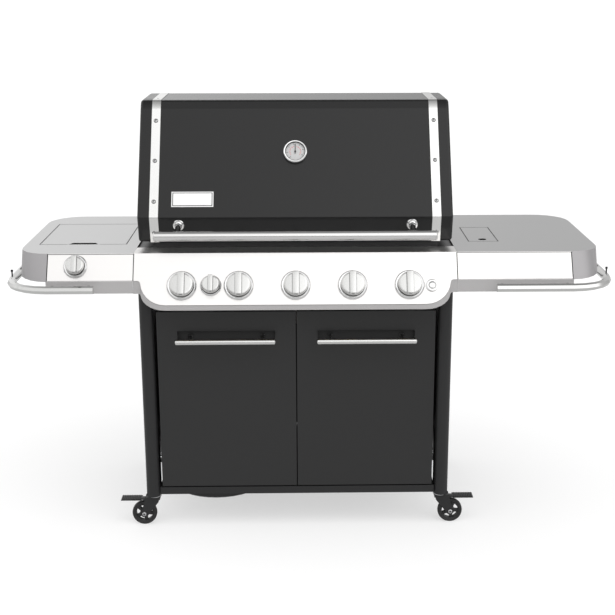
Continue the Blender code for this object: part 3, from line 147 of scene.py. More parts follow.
front_light = light_band(
    [(-1, 0.8), (-0.03, 0.30), (0.10, 0.34), (0.20, 1.15), (0.34, 1.46), (0.86, 1.46), (0.975, 0.42), (1, 0.30)]
)
rear_light = light_band([(-1, 0.8), (-0.03, 0.70), (0.20, 0.92), (0.45, 0.92), (0.75, 0.55), (0.93, 0.30), (1, 0.30)])
across = tent_nodes.new("ShaderNodeMath")
across.operation = "MULTIPLY"
tent_links.new(way.outputs["X"], across.inputs[0])
tent_links.new(way.outputs["Y"], across.inputs[1])
both = tent_nodes.new("ShaderNodeMix")
both.data_type = "RGBA"
tent_links.new(light_ramp(way.outputs["Y"], -0.12, 0.10, 0, 1), both.inputs["Factor"])
tent_links.new(front_light, both.inputs[6])
tent_links.new(rear_light, both.inputs[7])
glow = tent_nodes.new("ShaderNodeBackground")
tent_links.new(both.outputs[2], glow.inputs["Color"])
tent_links.new(light_ramp(across.outputs["Value"], -0.20, 0.20, 2.30, 1.45), glow.inputs["Strength"])
backdrop = tent_nodes.new("ShaderNodeBackground")
backdrop.inputs["Color"].default_value = (1, 1, 1, 1)
backdrop.inputs["Strength"].default_value = 1.1
seen = tent_nodes.new("ShaderNodeLightPath")
choice = tent_nodes.new("ShaderNodeMixShader")
tent_links.new(seen.outputs["Is Camera Ray"], choice.inputs["Fac"])
tent_links.new(glow.outputs[0], choice.inputs[1])
tent_links.new(backdrop.outputs[0], choice.inputs[2])
tent_links.new(choice.outputs[0], tent_nodes.new("ShaderNodeOutputWorld").inputs["Surface"])

overhead = bpy.data.objects.new("overhead", bpy.data.lights.new("overhead", "SUN"))
bpy.context.scene.collection.objects.link(overhead)
overhead.data.angle = math.radians(70)
overhead.data.energy = 1.1
overhead.rotation_euler = (math.radians(6), 0, 0)
overhead.visible_glossy = False


# ------------------------------------------------------------------ casters
# Four swivel casters hang on stems in the feet of the legs. Each has a pressed fork, an open
# spoked wheel with a rubber tread and, at the front, a ribbed brake pedal on a cross pin.
CASTER_X, CASTER_TRAIL, WHEEL_RADIUS = 0.463, 0.035, 0.040
CASTER_ROWS = {"front": 0.045, "rear": 0.556}


def finish(name, colour, rough, metal=0.0, spread=0.06, size=60, stretch=(1, 1, 1), dents=0.0, coat=0.0, ior=1.5):
    """A surface whose tone, gloss and skin all vary with one noise, drawn out along the part by stretch."""
    made = bpy.data.materials.new(name)
    made.use_nodes = True
    links, new = made.node_tree.links, made.node_tree.nodes.new
    shader = made.node_tree.nodes["Principled BSDF"]
    shader.inputs["Metallic"].default_value = metal
    shader.inputs["IOR"].default_value = ior
    shader.inputs["Coat Weight"].default_value = coat
    shader.inputs["Coat Roughness"].default_value = 0.08
    place = new("ShaderNodeTexCoord")
    mapping = new("ShaderNodeMapping")
    mapping.inputs["Scale"].default_value = stretch
    links.new(place.outputs["Object"], mapping.inputs["Vector"])
    noise = new("ShaderNodeTexNoise")
    noise.inputs["Scale"].default_value = size
    noise.inputs["Detail"].default_value = 4
    links.new(mapping.outputs["Vector"], noise.inputs["Vector"])
    tone = new("ShaderNodeMix")
    tone.data_type = "RGBA"
    tone.inputs[6].default_value = (*[c * (1 - spread) for c in colour], 1)
    tone.inputs[7].default_value = (*[min(1, c * (1 + spread)) for c in colour], 1)
    links.new(noise.outputs["Fac"], tone.inputs["Factor"])
    links.new(tone.outputs[2], shader.inputs["Base Color"])
    gloss = new("ShaderNodeMapRange")
    gloss.inputs["To Min"].default_value = rough * 0.82
    gloss.inputs["To Max"].default_value = min(1, rough * 1.18)
    links.new(noise.outputs["Fac"], gloss.inputs["Value"])
    links.new(gloss.outputs["Result"], shader.inputs["Roughness"])
    if dents:
        bump = new("ShaderNodeBump")
        bump.inputs["Strength"].default_value = 0.6
        bump.inputs["Distance"].default_value = dents
        links.new(noise.outputs["Fac"], bump.inputs["Height"])
        links.new(bump.outputs["Normal"], shader.inputs["Normal"])
    return made


def start_piece(name, primitive, **place):
    """Adds one primitive with nothing else selected, and opens it for editing."""
    bpy.ops.object.select_all(action="DESELECT")
    primitive(**place)
    piece = bpy.context.object
    piece.name = piece.data.name = name
    bpy.ops.object.mode_set(mode="EDIT")
    return piece


def close_piece(piece, angle=35):
    """Merges what touches, turns the faces out and puts the piece's place in its mesh."""
    bpy.ops.object.mode_set(mode="EDIT")
    bpy.ops.mesh.select_all(action="SELECT")
    bpy.ops.mesh.remove_doubles(threshold=0.00001)
    bpy.ops.mesh.normals_make_consistent(inside=False)
    bpy.ops.object.mode_set(mode="OBJECT")
    bpy.ops.object.transform_apply(location=True, rotation=True, scale=True)
    bpy.ops.object.shade_smooth_by_angle(angle=math.radians(angle))
    return piece


def turned_part(name, outline, sides=32, centre=(0, 0, 0), facing=(0, 0, 1), ring=False):
    """A lathe-turned piece: a circle drawn from ring to ring through (radius, height) pairs."""
    radius, level = outline[0]
    piece = start_piece(
        name,
        bpy.ops.mesh.primitive_circle_add,
        vertices=sides,
        radius=radius,
        fill_type="NOTHING" if ring else "NGON",
        location=(0, 0, level),
    )
    for wider, higher in outline[1:] + (outline[:1] if ring else []):
        bpy.ops.mesh.extrude_region_move(TRANSFORM_OT_translate={"value": (0, 0, higher - level)})
        grow = wider / radius
        bpy.ops.transform.resize(value=(grow, grow, 1), center_override=(0, 0, higher))
        radius, level = wider, higher
    bpy.ops.object.mode_set(mode="OBJECT")
    bpy.ops.object.transform_apply(location=True, rotation=True, scale=True)
    piece.rotation_euler = Vector(facing).to_track_quat("Z", "Y").to_euler()
    piece.location = centre
    return close_piece(piece)


def block(name, low, high, edge=0.001, steps=2):
    """A sawn block between two corners, with its edges rounded over."""
    low, high = Vector(low), Vector(high)
    piece = start_piece(name, bpy.ops.mesh.primitive_cube_add, size=1, location=(low + high) / 2)
    bpy.ops.transform.resize(value=high - low, center_override=(low + high) / 2)
    if edge:
        bpy.ops.mesh.bevel(offset=edge, segments=steps, affect="EDGES")
    return close_piece(piece)


def joined(name, pieces):
    """Welds several pieces into one object, which keeps all their finishes."""
    bpy.ops.object.select_all(action="DESELECT")
    for piece in pieces:
        piece.select_set(True)
    bpy.context.view_layer.objects.active = pieces[0]
    if len(pieces) > 1:
        bpy.ops.object.join()
    pieces[0].name = pieces[0].data.name = name
    return pieces[0]


def dress(piece, body, look, stands_for=()):
    """Gives a piece its finish and the body it moves with, and hides the solids it stands for."""
    if look:
        piece.data.materials.clear()
        piece.data.materials.append(look)
    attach(piece, body)
    if stands_for:
        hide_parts(*stands_for)
    return piece


def eased(node, body, look, edge=0.001, steps=2, angle=30):
    """A copy of a solid with its triangles merged into faces and its sharp edges rounded."""
    piece = nodes[node].copy()
    piece.data = nodes[node].data.copy()
    for key in list(piece.keys()):
        del piece[key]
    piece.name = piece.data.name = node + "_shown"
    piece.parent = None
    bpy.context.scene.collection.objects.link(piece)
    bpy.ops.object.select_all(action="DESELECT")
    bpy.context.view_layer.objects.active = piece
    piece.select_set(True)
    bpy.ops.object.mode_set(mode="EDIT")
    bpy.ops.mesh.select_all(action="SELECT")
    bpy.ops.mesh.remove_doubles(threshold=0.00002)
    bpy.ops.mesh.dissolve_limited(angle_limit=math.radians(1))
    bpy.ops.object.mode_set(mode="OBJECT")
    if edge:
        rounding = piece.modifiers.new("rounding", "BEVEL")
        rounding.width = edge
        rounding.segments = steps
        rounding.limit_method = "ANGLE"
        rounding.angle_limit = math.radians(angle)
        rounding.use_clamp_overlap = True
        rounding.harden_normals = False
        bpy.ops.object.modifier_apply(modifier="rounding")
    bpy.ops.object.shade_smooth_by_angle(angle=math.radians(35))
    if edge:
        true_flats(piece)
    return dress(piece, body, look, (node,))


def true_flats(piece):
    """Shades wide flat faces dead flat, and leaves the curve to the narrow rounded edges."""
    flatness = piece.modifiers.new("flatness", "WEIGHTED_NORMAL")
    flatness.keep_sharp = True
    flatness.weight = 100
    bpy.ops.object.modifier_apply(modifier="flatness")


def repaint(piece, looks, choose):
    """Gives each face one of the looks, picked by its middle and its normal."""
    piece.data.materials.clear()
    for look in looks:
        piece.data.materials.append(look)
    for face in piece.data.polygons:
        face.material_index = choose(face.center, face.normal)


def split_at(piece, *places):
    """Cuts a piece's faces along upright planes across the grill, so that each side takes its own finish."""
    bpy.ops.object.select_all(action="DESELECT")
    bpy.context.view_layer.objects.active = piece
    piece.select_set(True)
    bpy.ops.object.mode_set(mode="EDIT")
    for x in places:
        bpy.ops.mesh.select_all(action="SELECT")
        bpy.ops.mesh.bisect(plane_co=(x, 0, 0), plane_no=(1, 0, 0))
    bpy.ops.object.mode_set(mode="OBJECT")
    true_flats(piece)


moulded_black = finish("moulded_black_plastic", (0.014, 0.014, 0.0145), 0.42, size=400, dents=0.00005)
tread_rubber = finish("tread_rubber", (0.018, 0.018, 0.018), 0.62, size=250, dents=0.00008)
zinc = finish("zinc_plate", (0.62, 0.62, 0.63), 0.30, metal=1, spread=0.12, size=90)


def caster_wheel(name, centre):
    """Rubber tread on a rim that five tapered spokes carry from the hub."""
    r, across = WHEEL_RADIUS, (0, -1, 0)
    tread = turned_part(
        name + "_tread",
        [(0.0305, 0.0095), (r - 0.004, 0.0108), (r - 0.0012, 0.0085), (r, 0.004), (r, -0.004),
         (r - 0.0012, -0.0085), (r - 0.004, -0.0108), (0.0305, -0.0095)],
        48, centre, across, ring=True,
    )
    rim = turned_part(
        name + "_rim", [(0.0265, 0.0075), (0.0312, 0.0092), (0.0312, -0.0092), (0.0265, -0.0075)],
        48, centre, across, ring=True,
    )
    hub = turned_part(
        name + "_hub", [(0.0045, 0.0105), (0.0110, 0.0105), (0.0150, 0.0075), (0.0150, -0.0075),
                        (0.0110, -0.0105), (0.0045, -0.0105)],
        32, centre, across, ring=True,
    )
    tread.data.materials.append(tread_rubber)
    rim.data.materials.append(moulded_black)
    hub.data.materials.append(moulded_black)
    spokes = []
    for i in range(5):
        spoke = block(f"{name}_spoke_{i}", (-0.0052, -0.0060, 0.009), (0.0052, 0.0060, 0.0275), 0.0016)
        spoke.data.transform(Matrix.Translation(centre) @ Matrix.Rotation(math.tau * (i + 0.35) / 5, 4, "Y"))
        spoke.data.materials.append(moulded_black)
        spokes.append(spoke)
    return joined(name, [tread, rim, hub, *spokes])


def brake_pedal(name, side, y):
    """A tread plate with raised ribs across it, on the neck that turns on the fork's pin."""
    swivel = spot(side * CASTER_X, y, 0)
    plate = block(
        name, swivel + Vector((0.042, -0.0200, 0.0884)), swivel + Vector((0.1085, 0.0200, 0.0908)), 0.0010
    )
    pieces = [plate]
    for i in range(11):
        x = 0.047 + 0.0056 * i
        low, high = swivel + Vector((x, -0.0185, 0.0904)), swivel + Vector((x + 0.0026, 0.0185, 0.0922))
        pieces.append(block(f"{name}_rib_{i}", low, high, 0.0006, 1))
    neck = [(0.0265, -0.0108, 0.0868), (0.0440, 0.0108, 0.0912)]
    pieces.append(block(name + "_neck", swivel + Vector(neck[0]), swivel + Vector(neck[1]), 0.0012))
    pieces.append(
        block(name + "_shoe", swivel + Vector((0.0445, -0.0080, 0.0832)), swivel + Vector((0.0635, 0.0080, 0.0888)))
    )
    barrel = swivel + Vector((0.024, 0, 0.0905))
    pieces.append(
        turned_part(name + "_barrel", [(0.0029, 0.0117), (0.005, 0.0117), (0.005, -0.0117), (0.0029, -0.0117)],
                    24, barrel, (0, -1, 0), ring=True)
    )
    pedal = joined(name, pieces)
    if side < 0:
        mirror = Matrix.Diagonal((-1, 1, 1, 1))
        pedal.data.transform(Matrix.Translation(swivel) @ mirror @ Matrix.Translation(-swivel))
        pedal.data.flip_normals()
    return pedal


for row, y in CASTER_ROWS.items():
    for side, side_word in ((-1, "left"), (1, "right")):
        where = f"{row}_{side_word}"
        swivel = spot(side * CASTER_X, y, 0)
        axle = swivel + Vector((side * CASTER_TRAIL, 0, WHEEL_RADIUS))
        wheel = caster_wheel(f"wheel_{where}_shown", axle)
        dress(wheel, f"wheel_{where}", None, (f"caster_wheel_{where}",))
        eased(f"caster_fork_{where}", f"fork_{where}", moulded_black, 0.0009)
        collar = turned_part(
            f"swivel_collar_{where}",
            [(0.0065, 0.1119), (0.0185, 0.1119), (0.0222, 0.1105), (0.0226, 0.1060), (0.0214, 0.1035),
             (0.0212, 0.0985), (0.0065, 0.0985)],
            40, swivel, ring=True,
        )
        dress(collar, f"fork_{where}", zinc)
        nut = turned_part(
            f"axle_nut_{where}", [(0.0035, 0.0), (0.0072, 0.0), (0.0072, 0.0036), (0.0060, 0.0046), (0.0035, 0.0046)],
            6, axle + Vector((0, -0.0159, 0)), (0, -1, 0), ring=True,
        )
        dress(nut, f"fork_{where}", zinc)
        if row == "front":
            pedal = brake_pedal(f"pedal_{where}_shown", side, y)
            dress(pedal, f"pedal_{where}", moulded_black, (f"caster_pedal_{where}",))


# ------------------------------------------------------------------ cabinet shell
# Legs, welded side frames, base tray and panels are folded from sheet steel, powder coated in satin
# black. The dish that takes the gas cylinder's foot ring hangs in the base tray by its rim.
powder_black = finish("black_powder_coat", (0.019, 0.019, 0.0195), 0.36, size=900, dents=0.00002, ior=1.42)

for node, edge in (
    ("front_leg_left", 0.0012), ("front_leg_right", 0.0012), ("side_frame_left", 0.0010),
    ("side_frame_right", 0.0010), ("side_panel_left", 0.0007), ("side_panel_right", 0.0007),
    ("back_panel", 0.0007), ("base_panel", 0.0012), ("cylinder_dish", 0.0006), ("tray_subframe", 0.0006),
):
    eased(node, "cart", powder_black, edge)


# ------------------------------------------------------------------ doors and their handles
# Each door is a folded pan with a pocket for the fingers; a brushed bar with chamfered ends, on two dark posts,
# stands in front of the pocket.
door_black = finish("door_enamel", (0.020, 0.020, 0.0202), 0.30, size=1200, dents=0.000012, ior=1.45)
bar_steel = finish(
    "brushed_bar_steel", (0.70, 0.70, 0.69), 0.20, metal=1, spread=0.05, size=3, stretch=(2, 260, 260), dents=0.00001
)
post_grey = finish("post_grey", (0.045, 0.045, 0.045), 0.35, metal=0.3, size=400)
# Near-black finish for the door pocket: painted shade in the recess, not a different paint.
pocket_painted_shade = finish("pocket_painted_shade", (0.0035, 0.0035, 0.0035), 0.55, size=900)


def round_bar(name, start, end, radius, cap=0.0015, sides=40):
    """A straight bar with chamfered ends."""
    along = Vector(end) - Vector(start)
    reach = along.length
    outline = [
        (radius - cap, 0), (radius, cap), (radius, reach - cap), (radius - cap, reach),
    ]
    return turned_part(name, outline, sides, start, along)


for side, side_word in ((-1, "left"), (1, "right")):
    door = eased(f"door_{side_word}", f"{side_word}_door", door_black, 0.0011, 3)
    low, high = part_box(f"door_handle_{side_word}")
    face_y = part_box(f"door_{side_word}")[0].y
    inside = [(low.x + high.x) / 2 - 0.152, (low.x + high.x) / 2 + 0.152, low.z - 0.016, high.z + 0.016]
    # The pocket's recessed faces take the near-black finish: painted shade inside the pocket.
    repaint(
        door, (door_black, pocket_painted_shade),
        lambda c, n: int(inside[0] < c.x < inside[1] and inside[2] < c.z < inside[3] and c.y > face_y + 0.0012),
    )
    axis_y, axis_z = low.y + 0.009, (low.z + high.z) / 2
    bar = round_bar(f"door_bar_{side_word}", (low.x, axis_y, axis_z), (high.x, axis_y, axis_z), 0.009)
    dress(bar, f"{side_word}_door", bar_steel, (f"door_handle_{side_word}",))
    for i, reach in enumerate((-0.112, 0.112)):
        x = (low.x + high.x) / 2 + reach
        post = turned_part(
            f"door_post_{side_word}_{i}",
            [(0.0078, 0), (0.0078, 0.002), (0.0052, 0.0045), (0.0046, 0.030), (0.0052, 0.052), (0.0052, 0.0615)],
            24, (x, high.y, axis_z), (0, -1, 0),
        )
        dress(post, f"{side_word}_door", post_grey)


# ------------------------------------------------------------------ firebox and what cooks in it
# The cast tub carries burner tubes, bent heat tents, cast grates and a wire warming rack, and has a
# shallow infrared burner at the back. Hidden under the lid, they show when it is open.
cast_black = finish("cast_black", (0.020, 0.020, 0.021), 0.55, size=500, dents=0.00012)
heat_steel = finish(
    "heat_stained_steel", (0.52, 0.49, 0.45), 0.34, metal=1, spread=0.22, size=14, stretch=(1, 1, 1)
)
grate_iron = finish("seasoned_iron", (0.030, 0.028, 0.027), 0.50, spread=0.2, size=350, dents=0.0001)
eased("cookbox", "cart", cast_black, 0.0018, 2)
for node in ("main_burners", "heat_tents", "broiler_burner"):
    eased(node, "cart", heat_steel, 0.0006)
for node in ("cooking_grate_left", "cooking_grate_right"):
    eased(node, "cart", grate_iron, 0.0012)
eased("warming_rack", "cart", bar_steel, 0.0008)
eased("grease_tray", "drip_tray", heat_steel, 0.0006)
brass = finish("machined_brass", (0.60, 0.43, 0.17), 0.28, metal=1, size=120)
eased("gas_manifold", "cart", brass, 0.0004)


# ------------------------------------------------------------------ control panel
# A bright brushed sheet folded over the cabinet's front, its lower corners swept up to the tables,
# with a grey painted skirt below it and a polished ring round each knob.
SLOPE = math.radians(30.4)
OUT = Vector((0, -math.cos(SLOPE), math.sin(SLOPE)))
panel_steel = finish(
    "brushed_panel_steel", (0.875, 0.862, 0.850), 0.36, metal=1, spread=0.03, size=3, stretch=(1.2, 320, 320),
    dents=0.00001,
)
ring_steel = finish("polished_ring_steel", (0.74, 0.74, 0.74), 0.12, metal=1, spread=0.02, size=40)
satin_grey = finish("satin_grey_paint", (0.48, 0.47, 0.47), 0.38, metal=0.15, size=600, dents=0.00001)
eased("control_panel", "cart", panel_steel, 0.0005)
eased("panel_surround", "cart", satin_grey, 0.0006)


def on_slope(x, down):
    """The place on the sloping front that far down from the worktop's edge."""
    return spot(x, -down * math.sin(SLOPE), worktop - down * math.cos(SLOPE))


def knob_ring(name, x, down, inner, outer):
    ring = turned_part(
        name,
        [(inner, 0.0076), (outer - 0.0034, 0.0082), (outer - 0.0010, 0.0066), (outer + 0.0006, 0.0034),
         (outer + 0.0006, 0.0002), (inner, 0.0002)],
        64, on_slope(x, down), OUT, ring=True,
    )
    return dress(ring, "cart", ring_steel)


KNOB_X = [0.1718 * i for i in (-2, -1, 0, 1, 2)]
KNOB_DOWN = 0.1032
for i, x in enumerate(KNOB_X):
    knob_ring(f"knob_ring_{i + 1}", x, KNOB_DOWN, 0.0334, 0.045)
knob_ring("broiler_knob_ring", -0.2558, KNOB_DOWN, 0.0240, 0.0318)
button_at = on_slope(0.4118, 0.106)
dress(
    turned_part(
        "button_ring",
        [(0.0116, 0.0056), (0.0165, 0.0062), (0.0190, 0.0050), (0.0196, 0.0022), (0.0196, 0.0002), (0.0116, 0.0002)],
        48, button_at, OUT, ring=True,
    ),
    "cart", ring_steel,
)
dress(
    turned_part(
        "button_cap",
        [(0.0104, -0.005), (0.0107, 0.0045), (0.0098, 0.0058), (0.0080, 0.0064), (0.0074, 0.0058), (0.0034, 0.0058),
         (0.0030, 0.0068)],
        48, button_at, OUT,
    ),
    "panel_button", ring_steel, ("light_button",),
)


# ------------------------------------------------------------------ knobs
# A satin cap with a rounded shoulder stands on a skirt painted dark for the shade under it; a tall grip bar runs
# right across it between thin painted shade lines, with a small dark block under its lower end, painted shade for the
# pointer notch.
knob_steel = finish(
    "satin_knob_steel", (0.66, 0.66, 0.65), 0.27, metal=1, spread=0.04, size=3, stretch=(300, 2, 300), dents=0.00001
)
# Dark grey finish that is painted shade: the gap under the cap, the pointer notch and the sides of the grip.
knob_painted_shade = finish("knob_gap_painted_shade", (0.22, 0.22, 0.22), 0.35, metal=0.6, size=200)


def knob(name, body, node, x, down, radius):
    centre = on_slope(x, down)
    cap = turned_part(
        name,
        [(radius - 0.0016, 0.0135), (radius - 0.0004, 0.0150), (radius - 0.0012, 0.0215), (radius - 0.0030, 0.0248),
         (radius - 0.0060, 0.0260), (radius * 0.80, 0.0262)],
        64,
    )
    cap.data.materials.append(knob_steel)
    # The narrow skirt under the cap is painted dark as the shade in the gap between cap and ring.
    skirt_outline = [(radius - 0.0022, 0.0102), (radius - 0.0012, 0.0110), (radius - 0.0024, 0.0138)]
    skirt = turned_part(name + "_skirt", skirt_outline, 64)
    skirt.data.materials.append(knob_painted_shade)
    half, reach = radius * 0.27, radius - 0.0022
    grip = block(name + "_grip", (-half, -reach, 0.0230), (half, reach, 0.0365), 0.0016, 3)
    grip.data.materials.append(knob_steel)
    # The pointer notch is a dark block, not a cut: painted shade.
    notch_half = half * 0.55
    notch = block(
        name + "_notch", (-notch_half, -reach - 0.0004, 0.0262), (notch_half, -reach + 0.003, 0.0305), 0.0006, 1
    )
    notch.data.materials.append(knob_painted_shade)
    # Thin dark lines along both sides of the grip: painted shade where the bar meets the cap.
    lines = []
    for i, at in enumerate((-half - 0.0006, half + 0.0006)):
        line = block(f"{name}_line_{i}", (at - 0.0006, -reach * 0.93, 0.0255), (at + 0.0006, reach * 0.93, 0.0265), 0)
        line.data.materials.append(knob_painted_shade)
        lines.append(line)
    made = joined(name, [cap, skirt, grip, notch, *lines])
    made.data.transform(Matrix.Translation(centre) @ Matrix.Rotation(math.pi / 2 - SLOPE, 4, "X"))
    return dress(made, body, None, (node,))


for i, x in enumerate(KNOB_X):
    knob(f"main_knob_{i + 1}_shown", f"main_knob_{i + 1}", f"knob_main_{i + 1}", x, KNOB_DOWN, 0.037)
knob("broiler_knob_shown", "broiler_knob", "knob_broiler", -0.2558, KNOB_DOWN, 0.0275)
knob("side_knob_shown", "side_burner_knob", "knob_side_burner", -0.6647, 0.0417, 0.0285)
knob_ring("side_knob_ring", -0.6647, 0.0417, 0.0250, 0.0358)


# ------------------------------------------------------------------ side tables
# Each table is pressed from satin steel with a bright brushed plate on its sloping front and a grey
# moulded corner. The left one has a lid over its burner, the right one a small hatch.
table_steel = finish(
    "satin_table_steel", (0.60, 0.60, 0.60), 0.33, metal=1, spread=0.03, size=3, stretch=(1.2, 300, 300),
    dents=0.00001,
)
corner_grey = finish("moulded_corner_grey", (0.355, 0.345, 0.352), 0.34, metal=0.35, size=500, dents=0.00001)
edge_grey = finish("rolled_edge_shade", (0.16, 0.16, 0.16), 0.30, metal=1, size=80)
under_grey = finish("galvanised_underside", (0.20, 0.20, 0.20), 0.55, metal=0.6, spread=0.18, size=30)
seam_black = finish("seam_shadow", (0.010, 0.010, 0.010), 0.70, size=200)
# Darker steel for the floor of the lid's finger notch: painted shade in the recess.
notch_shade_grey = finish("notch_painted_shade_grey", (0.30, 0.30, 0.30), 0.40, metal=0.8, size=120)
PLATE_INNER, PLATE_OUTER = 0.4905, {-1: 0.750, 1: 0.841}


def table_look(side):
    """Picks a table's finish: satin top, rolled edge, bright front plate, grey corner or bare underside."""

    def choose(c, n):
        across = side * (c.x - middle)
        if n.z < -0.5 or n.y > 0.7:
            return 3
        if c.z < worktop - 0.078:
            return 5
        if n.z > 0.93:
            return 0
        if n.z > 0.60 and c.z > worktop - 0.004:
            return 1
        if n.dot(OUT) > 0.97 and PLATE_INNER < across < PLATE_OUTER[side]:
            return 2
        return 4

    return choose


def slope_strip(name, x, top, foot, half, look, proud=0.0007):
    """A thin upright line of finish on the sloping front, between two distances down it."""
    strip = block(name, (-half, -foot, -0.0004), (half, -top, proud), 0)
    strip.data.transform(Matrix.Translation(on_slope(x, 0)) @ Matrix.Rotation(math.pi / 2 - SLOPE, 4, "X"))
    return dress(strip, "cart", look)


for side, side_word in ((-1, "left"), (1, "right")):
    table = eased(f"table_{side_word}", "cart", table_steel, 0.0011)
    split_at(table, middle + side * PLATE_INNER, middle + side * PLATE_OUTER[side])
    repaint(table, (table_steel, edge_grey, panel_steel, under_grey, corner_grey, satin_grey), table_look(side))
    slope_strip(f"corner_seam_{side_word}", side * PLATE_OUTER[side], 0.0010, 0.0870, 0.0013, seam_black)
    slope_strip(f"panel_seam_{side_word}", side * PLATE_INNER, 0.0010, 0.0870, 0.0013, seam_black)
    slope_strip(
        f"plate_joint_{side_word}", side * (PLATE_INNER + PLATE_OUTER[side]) / 2, 0.0012, 0.0034,
        (PLATE_OUTER[side] - PLATE_INNER) / 2, edge_grey, 0.0003,
    )


def well_line(name, low, high, body, look):
    """One dark side of the open joint round a lid that lies flush in a table."""
    line = block(name, spot(*low, worktop - 0.0010), spot(*high, worktop + 0.0003), 0)
    return dress(line, body, look)


for name, body, (near, far, front, rear) in (
    ("side_burner_lid", "burner_flap", (-0.8030, -0.5300, 0.131, 0.4515)),
    ("hatch_lid", "hatch_flap", (0.5460, 0.6420, 0.149, 0.3690)),
):
    eased(name, body, table_steel, 0.0005)
    well_line(f"{name}_joint_near", (near, front), (near + 0.0026, rear), body, seam_black)
    well_line(f"{name}_joint_far", (far - 0.0026, front), (far, rear), body, seam_black)
    well_line(f"{name}_joint_rear", (near + 0.0026, rear - 0.0020), (far - 0.0026, rear), body, edge_grey)
    spans = [(near, far)] if body == "hatch_flap" else [(near, -0.713), (-0.618, far)]
    for i, (start, end) in enumerate(spans):
        well_line(f"{name}_joint_front_{i}", (start + 0.0026, front), (end - 0.0026, front + 0.0022), body, edge_grey)
# The finger notch's floor is a darker steel block: painted shade in the recess.
scoop_low, scoop_high = spot(-0.7115, 0.1315, worktop - 0.0058), spot(-0.6195, 0.1570, worktop - 0.0044)
scoop = block("lid_notch_scoop", scoop_low, scoop_high, 0.0006)
dress(scoop, "burner_flap", notch_shade_grey)
eased("side_burner", "cart", brass, 0.0008)
eased("side_burner_grate", "cart", grate_iron, 0.0010)


# ------------------------------------------------------------------ rails
# A polished tube runs along each table's front, round its corner and back along its side.
rail_steel = finish("polished_rail_steel", (0.66, 0.66, 0.65), 0.10, metal=1, spread=0.02, size=30)
for side, side_word in ((-1, "left"), (1, "right")):
    eased(f"rail_{side_word}", "cart", rail_steel, 0)
    low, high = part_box(f"rail_{side_word}")
    outer = (low.x if side < 0 else high.x) - side * 0.0125
    for i, y in enumerate((0.045, 0.215)):
        hook = turned_part(
            f"rail_hook_{side_word}_{i}",
            [(0.0022, 0), (0.0022, 0.0150), (0.0034, 0.0165), (0.0040, 0.0190), (0.0034, 0.0215), (0.0018, 0.0225)],
            20, (outer, spot(0, y, 0).y, 0.8320),
        )
        dress(hook, "cart", powder_black)


# ------------------------------------------------------------------ lid
# Porcelain enamelled sheet between two cast end caps, with a bright strip screwed over each joint.
lid_black = finish("black_enamel", (0.0075, 0.0075, 0.0077), 0.22, size=700, dents=0.00001, ior=1.42)
strip_steel = finish("bright_strip_steel", (0.80, 0.80, 0.79), 0.16, metal=1, spread=0.02, size=30)
eased("lid_shell", "lid", lid_black, 0.0008)
RIDGE, BROW, FOOT = (0.0506, 1.0137), (0.231, 1.324), (0.070, 0.934)
LID_LEAN = math.atan2(BROW[0] - RIDGE[0], BROW[1] - RIDGE[1])
LID_OUT = Vector((0, -math.cos(LID_LEAN), math.sin(LID_LEAN)))
BAND_OUT = Vector((0, FOOT[1] - RIDGE[1], RIDGE[0] - FOOT[0])).normalized()
screw_steel = finish("screw_steel", (0.50, 0.50, 0.50), 0.18, metal=1, size=300)


def on_lid(x, height, out=0.0):
    """A place on the lid's sloping face at that height over the floor."""
    return spot(x, RIDGE[0] + (height - RIDGE[1]) * math.tan(LID_LEAN), height) + LID_OUT * out


SCREW_X = 0.4335


def lid_screw(name, where, facing):
    """A domed screw with a cross recess, standing in a shallow dark washer."""
    head = turned_part(
        name, [(0.0058, 0), (0.0058, 0.0008), (0.0050, 0.0019), (0.0034, 0.0027), (0.0012, 0.0030)], 24
    )
    head.data.materials.append(screw_steel)
    washer = turned_part(name + "_washer", [(0.0068, 0), (0.0068, 0.0006), (0.0056, 0.0008)], 24)
    washer.data.materials.append(seam_black)
    recess = [
        block(f"{name}_slot_{i}", low, high, 0)
        for i, (low, high) in enumerate((
            ((-0.0026, -0.0005, 0.0022), (0.0026, 0.0005, 0.0031)),
            ((-0.0005, -0.0026, 0.0022), (0.0005, 0.0026, 0.0031)),
        ))
    ]
    for slot_cut in recess:
        slot_cut.data.materials.append(seam_black)
    screw = joined(name, [head, washer, *recess])
    screw.data.transform(Matrix.Translation(where) @ Vector(facing).to_track_quat("Z", "Y").to_matrix().to_4x4())
    return dress(screw, "lid", None)


for side, side_word in ((-1, "left"), (1, "right")):
    eased(f"lid_cap_{side_word}", "lid", lid_black, 0.0)
    eased(f"lid_trim_{side_word}", "lid", strip_steel, 0.0)
    for i, height in enumerate((1.289, 1.1736, 1.058)):
        lid_screw(f"trim_screw_{side_word}_{i}", on_lid(side * SCREW_X, height, 0.0014), LID_OUT)
    share = (0.964 - 0.934) / 0.0797
    low_place = spot(side * SCREW_X, 0.070 - 0.0194 * share, 0.964) + BAND_OUT * 0.0014
    lid_screw(f"trim_screw_{side_word}_low", low_place, BAND_OUT)
    for i, back in enumerate((0.285, 0.420)):
        top_place = spot(side * SCREW_X, back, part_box("lid_trim_left")[1].z - 0.0034)
        lid_screw(f"trim_screw_{side_word}_top_{i}", top_place, (0, 0, 1))

